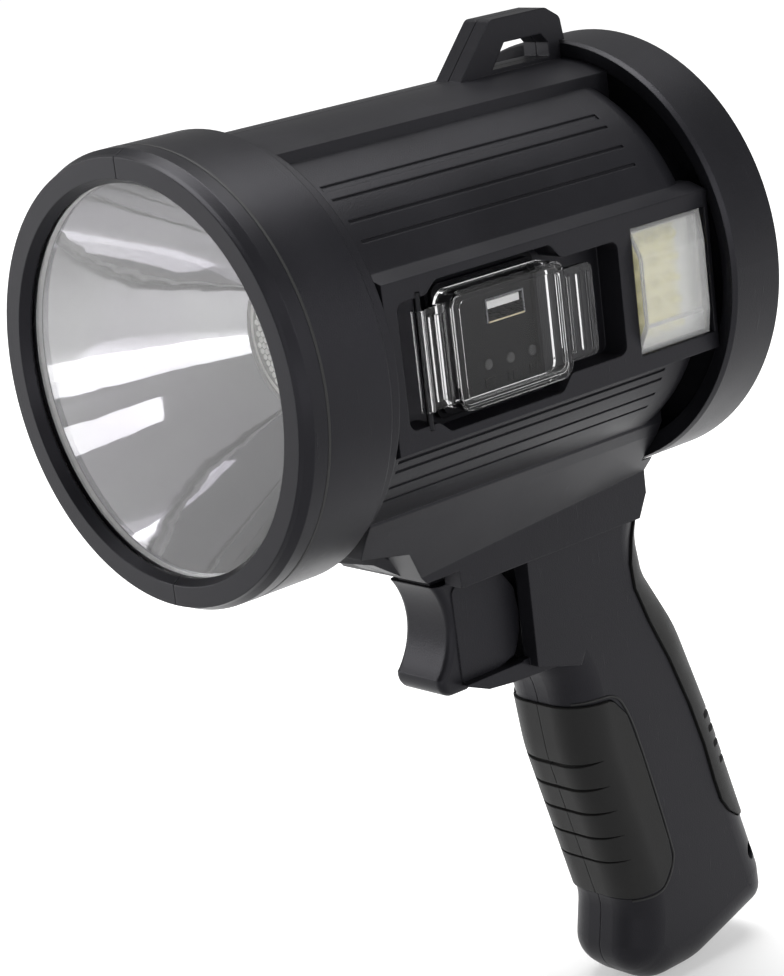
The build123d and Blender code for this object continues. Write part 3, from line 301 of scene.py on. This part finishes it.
housing_plastic = moulded("housing_plastic", shade=0.0065, smooth=0.33, grain_depth=0.00005)
bezel_plastic = moulded("bezel_plastic", shade=0.0070, smooth=0.29, grain_depth=0.00004, grain_size=3000.0)
trigger_plastic = moulded("trigger_plastic", shade=0.0070, smooth=0.31, grain_depth=0.00005)
inner_plastic = moulded(
    "inner_plastic", shade=0.010, smooth=0.38, grain_depth=0.00006, grain_size=1800.0, soften=0.0002)
panel_plastic = moulded(
    "panel_plastic", shade=0.003, smooth=0.24, grain_depth=0.00001, grain_size=3400.0, soften=0.0003,
    gloss=0.06)
dress(housing_plastic, "housing_left", "housing_right", "rear_ring")
dress(bezel_plastic, "bezel_left", "bezel_right", "head_band")
dress(trigger_plastic, "trigger")
dress(inner_plastic, "battery_tray", "switch_body", "switch_plunger", "board_parts")
dress(panel_plastic, "port_panel")

# %% [markdown]
# ## Soft grip rubber
#
# The finger pads and the strap down the back are soft rubber moulded over the plastic. Rubber scatters
# light widely, so it is rougher than the plastic, holds a little grey dust in its pores, and keeps a dull
# sheen where fingers rub it.

# %% The rubbers
def soft(name, shade, rough):
    """Soft black rubber with open pores and a little dust."""
    finish = Finish(name, IOR=1.5, Specular_IOR_Level=0.20, Sheen_Weight=0.03, Sheen_Roughness=0.5)
    pores = finish.noise(5200, 2, 0.6)
    dust = finish.between(finish.noise(60, 5, 0.65), 0.5, 0.75)
    finish.feed(
        Base_Color=finish.mixed(dust * 0.5, grey(shade), grey(shade * 2.2, 0.03)),
        Roughness=finish.between(dust, 0, 1, rough, rough + 0.12),
    )
    finish.relief(pores, 0.00006, 0.0004)
    return finish


grip_rubber = soft("grip_rubber", shade=0.0085, rough=0.50)
seal_rubber = soft("seal_rubber", shade=0.010, rough=0.62)
dress(grip_rubber, "grip_pad_left", "grip_pad_right", "back_strap")
dress(seal_rubber, "rear_gasket")

# %% [markdown]
# ## Clear plastics
#
# The lens is flat and polished, the port cover is clear and shows its thick edges, and the side lens is
# frosted so that its lamps show as one patch. All are glass-like shaders with a plastic's refraction. The
# lens and the cover are smooth and the frosted lens is rough and a little milky. The cover's faces mirror
# only a part of what they could, or the pale floor would hide the dark port behind them.

# %% Lens, cover and frosted lens
def clear(name, rough, tint, ripple=0.0, ripple_size=30.0, soften=0.0, milk=0.0, shine=1.0):
    """Clear plastic with a faint haze, and on request moulding ripples, soft edges and milkiness."""
    finish = Finish(name, IOR=1.46, Transmission_Weight=1.0 - milk, Specular_Tint=grey(shine))
    haze = finish.between(finish.noise(45, 4, 0.6), 0.45, 0.8)
    finish.feed(
        Base_Color=finish.mixed(haze, tint, tuple(c * 0.985 for c in tint[:3]) + (1,)),
        Roughness=finish.between(haze, 0, 1, rough, rough + 0.015),
    )
    if ripple:
        finish.relief(finish.noise(ripple_size, 1), ripple, soften)
    return finish


lens_plastic = clear("lens_plastic", rough=0.0, tint=(1.0, 1.0, 1.0, 1))
cover_plastic = clear(
    "cover_plastic", rough=0.0, tint=(0.99, 0.99, 0.995, 1), ripple=0.00001, ripple_size=60.0, soften=0.0003,
    shine=0.25)
frosted_plastic = clear(
    "frosted_plastic", rough=0.25, tint=(0.98, 0.985, 0.99, 1), ripple=0.00002, ripple_size=2500.0,
    soften=0.0006, milk=0.20)
rear_clear = clear("rear_clear", rough=0.01, tint=(0.98, 0.985, 0.99, 1))
dress(lens_plastic, "front_lens")
dress(cover_plastic, "port_cover")
dress(frosted_plastic, "side_lens")
dress(rear_clear, "rear_window")

# %% [markdown]
# ## Metals and small parts
#
# The socket's shell and the cover's pin are dark steel, the screws and the trigger's pin are zinc plated,
# and the heat sink is bare aluminium. Drawn metal has scratches along one direction, which stretched noise
# gives.

# %% Metals
def metal(name, colour, rough, stretch, depth=0.000008):
    """Metal with drawing lines along one direction and faint stains."""
    finish = Finish(name, Metallic=1.0)
    lines = finish.noise(500, 3, 0.6, stretch=stretch)
    stain = finish.noise(55, 3)
    finish.feed(
        Base_Color=finish.mixed(
            finish.between(stain, 0.35, 0.7), colour, tuple(c * 0.86 for c in colour[:3]) + (1,)),
        Roughness=finish.between(lines, 0.3, 0.7, rough, rough + 0.14),
    )
    finish.relief(lines, depth, 0.00015)
    return finish


zinc_steel = metal("zinc_steel", (0.58, 0.58, 0.60, 1), rough=0.28, stretch=(6, 1, 6))
bare_aluminium = metal("bare_aluminium", (0.76, 0.77, 0.78, 1), rough=0.32, stretch=(9, 1, 1))
socket_shell = metal("socket_shell", (0.16, 0.16, 0.17, 1), rough=0.22, stretch=(1, 8, 8))
dark_steel = metal("dark_steel", (0.020, 0.020, 0.022, 1), rough=0.42, stretch=(6, 6, 1))
dress(socket_shell, "usb_socket")
dress(zinc_steel, "heat_sink_screws", "housing_screws", "rear_screws", "trigger_pin")
dress(dark_steel, "cover_hinge_pin")
dress(bare_aluminium, "heat_sink")

# %% [markdown]
# ## Boards, cells and lamps
#
# Printed boards are painted with a slightly uneven lacquer over copper tracks. Battery cells wear a shrunk
# plastic sleeve. The lamps are yellow phosphor under resin, brighter than anything around them.

# %% Painted and resin finishes
def painted(name, low, high, rough, per_metre=120.0, depth=0.00002):
    """A coating whose colour drifts between two, so many clouds to a metre."""
    finish = Finish(name)
    cloud = finish.noise(per_metre, 4, 0.6)
    finish.feed(
        Base_Color=finish.mixed(finish.between(cloud, 0.35, 0.65), (*low, 1), (*high, 1)),
        Roughness=finish.between(cloud, 0.3, 0.7, rough, rough + 0.1),
    )
    finish.relief(cloud, depth, 0.0002)
    return finish


green_board = painted("green_board", (0.010, 0.075, 0.035), (0.015, 0.11, 0.05), 0.3)
white_board = painted("white_board", (0.78, 0.78, 0.74), (0.85, 0.85, 0.82), 0.35)
cell_sleeve = painted("cell_sleeve", (0.03, 0.09, 0.26), (0.04, 0.11, 0.31), 0.2, 40.0)
white_plastic = painted("white_plastic", (0.80, 0.80, 0.79), (0.86, 0.86, 0.85), 0.32)
phosphor = painted("phosphor", (0.86, 0.78, 0.30), (0.93, 0.87, 0.42), 0.4, 2000.0)
emitter_silicone = painted("emitter_silicone", (0.20, 0.20, 0.18), (0.26, 0.26, 0.23), 0.28, 300.0)
indicator_resin = painted("indicator_resin", (0.006, 0.006, 0.007), (0.010, 0.010, 0.012), 0.12, 500.0)
pale_seal = painted("pale_seal", (0.86, 0.86, 0.85), (0.91, 0.91, 0.90), 0.30, 250.0)
dress(green_board, "main_board")
dress(white_board, "side_led_board", "led_board")
dress(cell_sleeve, "battery_cells")
dress(white_plastic, "usb_tongue")
dress(phosphor, "side_leds")
dress(emitter_silicone, "led_emitter")
dress(pale_seal, "lens_gasket")
dress(indicator_resin, "indicator_lenses")

# %% [markdown]
# ## The solar panel
#
# The rear face is a round solar panel under a clear window. Its dark blue cells are crossed by hair-thin
# silver fingers, with a wider bar between cells. Both come from the place on the panel: the remainder of a
# division says how far a point is from the nearest line.

# %% Cells of the solar panel
finger_pitch = 0.0020
finger_half = 0.00007
cell_width = 0.0150
bar_half = 0.00035
solar = Finish("solar_cells", Coat_Weight=0.6, Coat_Roughness=0.08)
cloud = solar.noise(90, 4, 0.7)
spot = solar.node("ShaderNodeSeparateXYZ", sockets={0: solar.place()})
across_spot = Wire(solar, spot.socket.node.outputs["X"])
up_spot = Wire(solar, spot.socket.node.outputs["Z"])


def line_mask(finish, value, pitch, half_width):
    """One on thin lines that repeat by a pitch, and nought between them."""
    wave = finish.maths_of("PINGPONG", value, pitch / 2)
    return finish.between(wave, half_width, half_width * 1.6, 1.0, 0.0)


fingers = line_mask(solar, up_spot, finger_pitch, finger_half)
bars = line_mask(solar, across_spot, cell_width, bar_half)
lines = fingers + bars * 0.8
silicon = solar.mixed(solar.between(cloud, 0.35, 0.65), (0.006, 0.009, 0.026, 1), (0.010, 0.016, 0.045, 1))
solar.feed(
    Base_Color=solar.mixed(lines, silicon, (0.45, 0.46, 0.48, 1)),
    Roughness=solar.between(cloud, 0.3, 0.7, 0.22, 0.34),
)
solar.relief(lines, 0.00003)
dress(solar, "solar_panel")

# %% [markdown]
# ## The mirror bowl
#
# The reflector is a deep parabola of aluminised plastic. A mirror shows every flat facet, so the CAD solid,
# which is made of flat triangles, is replaced by a finely turned bowl of the same profile. Its metal film
# is not quite even: it has a faint violet tinge and a soft haze.

# %% Turned pieces
def turned(name, outline, steps=192, closed=True):
    """A piece turned about the Y axis from points of radius and Y."""
    shape = bmesh.new()
    rings = []
    for step in range(steps):
        turn = 2 * math.pi * step / steps
        rings.append([shape.verts.new((r * math.cos(turn), y, r * math.sin(turn))) for r, y in outline])
    spans = len(outline) if closed else len(outline) - 1
    for ring, after in zip(rings, rings[1:] + rings[:1]):
        for here in range(spans):
            there = (here + 1) % len(outline)
            shape.faces.new((ring[here], ring[there], after[there], after[here]))
    bmesh.ops.remove_doubles(shape, verts=shape.verts, dist=1e-7)
    bmesh.ops.recalc_face_normals(shape, faces=shape.faces)
    mesh = bpy.data.meshes.new(name)
    shape.to_mesh(mesh)
    shape.free()
    mesh.shade_smooth()
    made = bpy.data.objects.new(name, mesh)
    bpy.context.scene.collection.objects.link(made)
    return made


crisp_angle = math.radians(35)


def sharp(piece):
    """Keeps the edges that turn by more than an angle crisp."""
    mesh = piece.data
    shape = bmesh.new()
    shape.from_mesh(mesh)
    for edge in shape.edges:
        if len(edge.link_faces) == 2 and edge.calc_face_angle() > crisp_angle:
            edge.smooth = False
    shape.to_mesh(mesh)
    shape.free()
    return piece


# %% Turn the bowl
front = cad_box[0].y
fine_steps = 256
steps_along = 72
bowl_mouth_y = front + 0.0080
bowl_cut_y = front + 0.0500
bowl_vertex_y = front + 0.0581
bowl_mouth_r = 0.04838
bowl_focus = bowl_mouth_r ** 2 / (4 * (bowl_vertex_y - bowl_mouth_y))
bowl_wall = 0.0013
flange_r = 0.0498
flange_thickness = 0.0014
emitter_thickness = 0.0012


def bowl_r(y):
    """The radius of the mirror at a Y place."""
    return 2 * math.sqrt(bowl_focus * (bowl_vertex_y - y))


rows = [bowl_cut_y + (bowl_mouth_y - bowl_cut_y) * step / steps_along for step in range(steps_along + 1)]
outer_rows = [y for y in reversed(rows) if y > bowl_mouth_y + flange_thickness]
bowl = turned("mirror_bowl", [
    *[(bowl_r(y), y) for y in rows],
    (flange_r, bowl_mouth_y), (flange_r, bowl_mouth_y + flange_thickness),
    *[(bowl_r(y) + bowl_wall, y) for y in outer_rows],
    (bowl_r(bowl_cut_y) + bowl_wall, bowl_cut_y + emitter_thickness),
    (bowl_r(bowl_cut_y), bowl_cut_y + emitter_thickness),
], steps=fine_steps)
sharp(bowl)
mirror = Finish("mirror_film", Metallic=1.0, Specular_IOR_Level=0.5)
film = mirror.noise(26, 3, 0.5)
smudge = mirror.between(mirror.noise(90, 5, 0.65), 0.52, 0.8)
mirror.feed(
    Base_Color=mirror.mixed(
        mirror.between(film, 0.35, 0.68), (0.46, 0.46, 0.472, 1), (0.40, 0.385, 0.42, 1)),
    Roughness=mirror.between(smudge, 0, 1, 0.035, 0.10),
)
mirror.relief(mirror.noise(70, 2), 0.00012)
bowl.data.materials.append(mirror.material)
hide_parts("reflector")
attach(bowl, "housing")
print("bowl:", len(bowl.data.polygons), "faces, mouth radius", round(bowl_r(bowl_mouth_y), 5))

# %% [markdown]
# ## Cells of the lamp
#
# The lamp at the bottom of the bowl is a plate of small six-sided cells, each with its own low dome of
# resin. The side light has three columns of larger, round lamps. One function makes a dome for both from
# rings of points that shrink towards the top. The number of corners says whether it is six-sided or round.

# %% Resin domes
def dome(shape, place, across, up, half, height, corners, levels, turn=0.0):
    """Adds a low dome to a mesh: it stands at a place, and across and up give the plane of its foot."""
    out = across.cross(up)
    rings = []
    for level in range(levels):
        lift = math.sin(math.pi / 2 * level / levels)
        reach = half * math.cos(math.pi / 2 * level / levels)
        rings.append([
            shape.verts.new(
                place + out * height * lift
                + across * reach * math.cos(turn + 2 * math.pi * corner / corners)
                + up * reach * math.sin(turn + 2 * math.pi * corner / corners)
            ) for corner in range(corners)])
    top = shape.verts.new(place + out * height)
    for ring, after in zip(rings, rings[1:]):
        for corner in range(corners):
            nxt = (corner + 1) % corners
            shape.faces.new((ring[corner], ring[nxt], after[nxt], after[corner]))
    for corner in range(corners):
        shape.faces.new((rings[-1][corner], rings[-1][(corner + 1) % corners], top))


def piece_from(shape, name, body, finish, smooth=True):
    """Turns a mesh under construction into a piece that rides on a body."""
    mesh = bpy.data.meshes.new(name)
    shape.to_mesh(mesh)
    shape.free()
    if smooth:
        mesh.shade_smooth()
    made = bpy.data.objects.new(name, mesh)
    bpy.context.scene.collection.objects.link(made)
    made.data.materials.append(finish.material)
    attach(made, body)
    return made


right_way = Vector((1, 0, 0))
up_way = Vector((0, 0, 1))
back_way = Vector((0, 1, 0))
cell_pitch = 0.0017
cell_half = cell_pitch * 0.50
cell_rise = 0.00032
cell_sides = 6
cell_levels = 3
emitter_r = 0.0168
row_step = cell_pitch * math.sqrt(3) / 2
cell_resin = painted("cell_resin", (0.80, 0.80, 0.76), (0.88, 0.88, 0.85), 0.12, 900.0, 0.00001)
cells = bmesh.new()
cell_count = 0
rows_half = int(emitter_r / row_step)
for row in range(-rows_half, rows_half + 1):
    for column in range(-rows_half, rows_half + 1):
        x = (column + (row % 2) / 2) * cell_pitch
        z = row * row_step
        if math.hypot(x, z) < emitter_r - cell_pitch / 2:
            spot = Vector((x, bowl_cut_y, z))
            dome(cells, spot, right_way, up_way, cell_half, cell_rise, cell_sides, cell_levels, math.pi / 6)
            cell_count += 1
piece_from(cells, "emitter_cells", "housing", cell_resin)
print("emitter cells:", cell_count)

# %% Domes on the lamps of the side light
side_low, side_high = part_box("side_leds")
lamp_rows = 5
lamp_columns = 3
lamp_half = 0.0016
lamp_rise = 0.0028
lamp_sides = 20
lamp_levels = 6
row_pitch = 0.0056
column_pitch = 0.0060
side_middle = (side_low + side_high) / 2
yellow_resin = painted("yellow_resin", (0.80, 0.72, 0.22), (0.90, 0.83, 0.34), 0.18, 1500.0, 0.00001)
domes = bmesh.new()
for row in range(lamp_rows):
    for column in range(lamp_columns):
        y = side_middle.y + (column - (lamp_columns - 1) / 2) * column_pitch
        z = side_middle.z + (row - (lamp_rows - 1) / 2) * row_pitch
        spot = Vector((side_high.x, y, z))
        dome(domes, spot, back_way, up_way, lamp_half, lamp_rise, lamp_sides, lamp_levels)
piece_from(domes, "side_lamp_domes", "housing", yellow_resin)
print("side lamps:", lamp_rows * lamp_columns)

# %% [markdown]
# ## Inside the port
#
# The socket's tongue carries four gold contacts, and a thin lip runs along the lower edge of its mouth; its
# pale colour is a painted highlight for the light that this edge catches.
# Under each indicator are small raised marks: one bar, two bars or three bars. They stand for nothing.

# %% Contacts and marks
tongue_low, tongue_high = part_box("usb_tongue")
contact_length = 0.0062
contact_inset = 0.0004
contact_width = 0.0010
contact_rise = 0.00012
contact_shares = (0.16, 0.39, 0.61, 0.84)
slab_bevel = 0.00005


def slabs(name, body, finish, boxes):
    """Thin raised blocks, each given by its low and high corner, with softened edges."""
    shape = bmesh.new()
    for low, high in boxes:
        made = bmesh.ops.create_cube(shape, size=1.0)["verts"]
        size = Vector(high) - Vector(low)
        bmesh.ops.scale(shape, vec=size, verts=made)
        bmesh.ops.translate(shape, vec=(Vector(high) + Vector(low)) / 2, verts=made)
    piece = piece_from(shape, name, body, finish, smooth=False)
    softened = piece.modifiers.new("softened", "BEVEL")
    softened.width = slab_bevel
    softened.segments = 2
    return piece


gold = metal("contact_gold", (0.90, 0.68, 0.32, 1), 0.16, (2, 9, 2))
contact_places = [tongue_low.y + (tongue_high.y - tongue_low.y) * share for share in contact_shares]
slabs("socket_contacts", "housing", gold, [
    ((tongue_high.x - contact_length, y - contact_width / 2, tongue_low.z - contact_rise),
     (tongue_high.x - contact_inset, y + contact_width / 2, tongue_low.z)) for y in contact_places])
print("contacts:", len(contact_places))

# %% The lip of the socket, with a painted highlight, and the marks under it
socket_low, socket_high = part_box("usb_socket")
lip_rise = 0.00035
lip_proud = 0.0003
lip_length = 0.0030
lip_inset = 0.0004
# Painted highlight: the lip is a real edge, but its pale colour stands in for the light that the steel edge
# catches.
lip_painted_highlight = painted("lip_painted_highlight", (0.72, 0.62, 0.40), (0.80, 0.71, 0.50), 0.25, 400.0)
slabs("socket_lip_highlight", "housing", lip_painted_highlight, [
    ((socket_high.x - lip_length, socket_low.y + lip_inset, socket_low.z),
     (socket_high.x + lip_proud, socket_high.y - lip_inset, socket_low.z + lip_rise))])
lens_low, lens_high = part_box("indicator_lenses")
lens_pitch = 0.0076
panel_face_x = socket_high.x - 0.0004
mark_root = 0.0003
mark_rise = 0.0004
mark_half = 0.0012
mark_z = lens_low.z - 0.0032
bar_gap = 0.0006
bar_widths = ((0.0030,), (0.0011, 0.0011), (0.0006, 0.0006, 0.0006))
marks = []
for index, widths in enumerate(bar_widths):
    middle_y = (lens_low.y + lens_high.y) / 2 + (index - 1) * lens_pitch
    run = sum(widths) + bar_gap * (len(widths) - 1)
    y = middle_y - run / 2
    for width in widths:
        low = (panel_face_x - mark_root, y, mark_z - mark_half)
        high = (panel_face_x + mark_rise, y + width, mark_z + mark_half)
        marks.append((low, high))
        y += width + bar_gap
slabs("indicator_marks", "housing", panel_plastic, marks)
print("raised marks:", len(marks))

# %% [markdown]
# ## Screws with a cross recess
#
# The housing is clamped by three screws in deep wells on its plain side. A screw head has a domed top and a
# cross-shaped recess with tapered walls, so one head is turned, cut by a cross and then copied. Places on the
# grip are given as two shares: how far back from its front, and how far down from its top.

# %% Screw heads
cutter_taper = 0.62
cutter_overshoot = 0.3


def cross_cutter(reach, width, depth):
    """A cross with walls that lean inwards, to be cut out of a screw's top, which faces -X."""
    shape = bmesh.new()
    arm = [(reach, -width), (reach, width), (width, width)]
    outer = [
        (y * way_y - z * way_z, y * way_z + z * way_y)
        for way_y, way_z in ((1, 0), (0, 1), (-1, 0), (0, -1)) for y, z in arm]
    mouth = [shape.verts.new((-depth * cutter_overshoot, y, z)) for y, z in outer]
    bottom = [shape.verts.new((depth, y * cutter_taper, z * cutter_taper)) for y, z in outer]
    shape.faces.new(mouth)
    shape.faces.new(list(reversed(bottom)))
    for corner in range(len(outer)):
        nxt = (corner + 1) % len(outer)
        shape.faces.new((mouth[corner], bottom[corner], bottom[nxt], mouth[nxt]))
    bmesh.ops.recalc_face_normals(shape, faces=shape.faces)
    return shape


def object_of(shape, name):
    """Turns a mesh under construction into an object that is needed only for a cut."""
    mesh = bpy.data.meshes.new(name)
    shape.to_mesh(mesh)
    shape.free()
    made = bpy.data.objects.new(name, mesh)
    bpy.context.scene.collection.objects.link(made)
    return made


screw_sides = 48
screw_head_r = 0.0026
screw_head_rise = 0.0015
cross_reach = screw_head_r * 0.62
cross_width = screw_head_r * 0.13
cross_depth = screw_head_rise * 0.75
screw_shank_r = 0.0012
screw_length = 0.0180
screw_floor_x = -0.0090
head_shares = ((0.0, 0.96), (0.55, 0.92), (0.85, 0.70), (1.0, 0.35))
head_outline = [
    *[(screw_head_r * across, -screw_head_rise * rise) for across, rise in head_shares],
    (screw_head_r, 0.0), (screw_shank_r, 0.0), (screw_shank_r, screw_length), (0.0, screw_length),
]
screw = turned("screw_blank", head_outline, steps=screw_sides, closed=False)
screw.data.transform(Matrix.Rotation(-math.pi / 2, 4, "Z"))
cutter = object_of(cross_cutter(cross_reach, cross_width, cross_depth), "cross_cutter")
cutter.data.transform(Matrix.Translation((-screw_head_rise, 0, 0)))
cut = screw.modifiers.new("cross", "BOOLEAN")
cut.object = cutter
cut.operation = "DIFFERENCE"
bpy.context.view_layer.update()
cut_screw = screw.evaluated_get(bpy.context.evaluated_depsgraph_get())
cut_mesh = bpy.data.meshes.new_from_object(cut_screw)
screw_shares = ((0.294, 0.250), (0.550, 0.592), (0.527, 0.888))
grip_front_y = front + 0.1057
grip_run = 0.086
grip_top_z = -0.058
grip_drop = 0.152
screws = bmesh.new()
for back_share, down_share in screw_shares:
    spot = (screw_floor_x, grip_front_y + back_share * grip_run, grip_top_z - down_share * grip_drop)
    copied = cut_mesh.copy()
    copied.transform(Matrix.Translation(spot))
    screws.from_mesh(copied)
    bpy.data.meshes.remove(copied)
bpy.data.objects.remove(screw)
bpy.data.objects.remove(cutter)
screw_piece = sharp(piece_from(screws, "cross_screws", "housing", zinc_steel))
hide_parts("housing_screws")
print("screws:", len(screw_shares), "with", len(screw_piece.data.polygons), "faces")

# %% [markdown]
# ## Painted shade in the joints
#
# Where two pieces of the head meet, the real joint is a groove that lies in shade, and each soft
# pad sits in a groove of its own. The grooves are not cut: a thin black piece follows each of them, and its
# black is painted shade that stands in for the shade in the groove. The rings are turned. The strip
# round a finger pad is a tube along the pad's outline, laid on the rounded side of the grip: the side is
# flat in the middle and falls away in a quarter circle near the rim.

# %% Painted shade in the joints of the head
# Painted shade: this near-black stands in for the shade inside the grooves between parts.
groove_shade_black = painted("groove_shade_black", (0.0016, 0.0016, 0.0018), (0.0024, 0.0024, 0.0027), 0.55, 900.0)
bezel_r = 0.0567
collar_r = 0.0544
bezel_end_y = front + 0.0080
band_end_y = front + 0.0278
groove_shade_width = 0.0008
groove_shade_depth = 0.0006
groove_shade_proud = 0.00004
# Two black rings, painted shade for the grooves between bezel and band and behind the band.
head_groove_shades = (("bezel_groove_shade", bezel_r, bezel_end_y), ("band_groove_shade", collar_r, band_end_y + groove_shade_width / 2))
for name, ring_r, ring_y in head_groove_shades:
    ring = turned(name, [
        (ring_r - groove_shade_depth, ring_y - groove_shade_width / 2), (ring_r + groove_shade_proud, ring_y - groove_shade_width / 2),
        (ring_r + groove_shade_proud, ring_y + groove_shade_width / 2), (ring_r - groove_shade_depth, ring_y + groove_shade_width / 2),
    ], steps=fine_steps)
    sharp(ring)
    ring.data.materials.append(groove_shade_black.material)
    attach(ring, "housing")
# The rings printed here are painted shade for the grooves of the head.
print("head seals:", [joint[0] for joint in head_groove_shades])

# %% Painted shade round the finger pads
grip_half = 0.015
grip_round = 0.0105
grip_front_shares = (
    (0.000, 0.000), (0.000, 0.224), (0.120, 0.362), (0.150, 0.502), (0.313, 0.829), (0.277, 0.934),
)
pad_shares = (
    (0.150, 0.399), (0.277, 0.401), (0.335, 0.438), (0.387, 0.526),
    (0.471, 0.711), (0.478, 0.757), (0.428, 0.796), (0.329, 0.806),
)
groove_shade_r = 0.00040
groove_shade_outset = 0.00080


def grip_point(share):
    """A side view point of the grip, as Y and Z."""
    return Vector((grip_front_y + share[0] * grip_run, grip_top_z - share[1] * grip_drop))


def rim_distance(point):
    """How far a side view point lies behind the front rim of the grip."""
    rim = [grip_point(share) for share in grip_front_shares]
    nearest = 1.0
    for first, second in zip(rim, rim[1:]):
        along = max(0.0, min(1.0, (point - first).dot(second - first) / (second - first).length_squared))
        nearest = min(nearest, (point - first - along * (second - first)).length)
    return nearest


def side_x(distance):
    """Where the side of the grip is at a distance from its rim."""
    fall = max(0.0, grip_round - distance)
    return grip_half - grip_round + math.sqrt(max(0.0, grip_round ** 2 - fall ** 2))


def smooth_path(points, steps=10):
    """A rounded path through side view points."""
    path = []
    for here in range(len(points) - 1):
        before = points[max(here - 1, 0)]
        first, second = points[here], points[here + 1]
        after = points[min(here + 2, len(points) - 1)]
        for step in range(steps):
            t = step / steps
            path.append(0.5 * (
                2 * first + (second - before) * t + (2 * before - 5 * first + 4 * second - after) * t ** 2
                + (3 * first - before - 3 * second + after) * t ** 3))
    return path + [points[-1]]


def groove_shade_line(name, path, finish):
    """A thin tube along points in space."""
    curve = bpy.data.curves.new(name, "CURVE")
    curve.dimensions = "3D"
    curve.bevel_depth = groove_shade_r
    curve.bevel_resolution = 3
    curve.use_fill_caps = True
    spline = curve.splines.new("POLY")
    spline.points.add(len(path) - 1)
    for point, place in zip(spline.points, path):
        point.co = (*place, 1)
    made = bpy.data.objects.new(name, curve)
    bpy.context.scene.collection.objects.link(made)
    curve.materials.append(finish.material)
    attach(made, "housing")
    return made


def outset(path, distance):
    """Moves a path sideways, away from the pad that it goes round."""
    moved = []
    for here, point in enumerate(path):
        way = path[min(here + 1, len(path) - 1)] - path[max(here - 1, 0)]
        moved.append(point + Vector((-way.y, way.x)).normalized() * distance)
    return moved


# The black tubes round each pad are painted shade for the groove in which the pad sits.
outline = outset(smooth_path([grip_point(share) for share in pad_shares]), groove_shade_outset)
for side, sign in (("left", -1), ("right", 1)):
    groove_shade_line(f"pad_groove_shade_{side}", [
        (sign * side_x(rim_distance(point)), point.x, point.y) for point in outline], groove_shade_black)
# Points of the black tubes that paint the shade of the pads' grooves.
print("pad seal points:", len(outline))
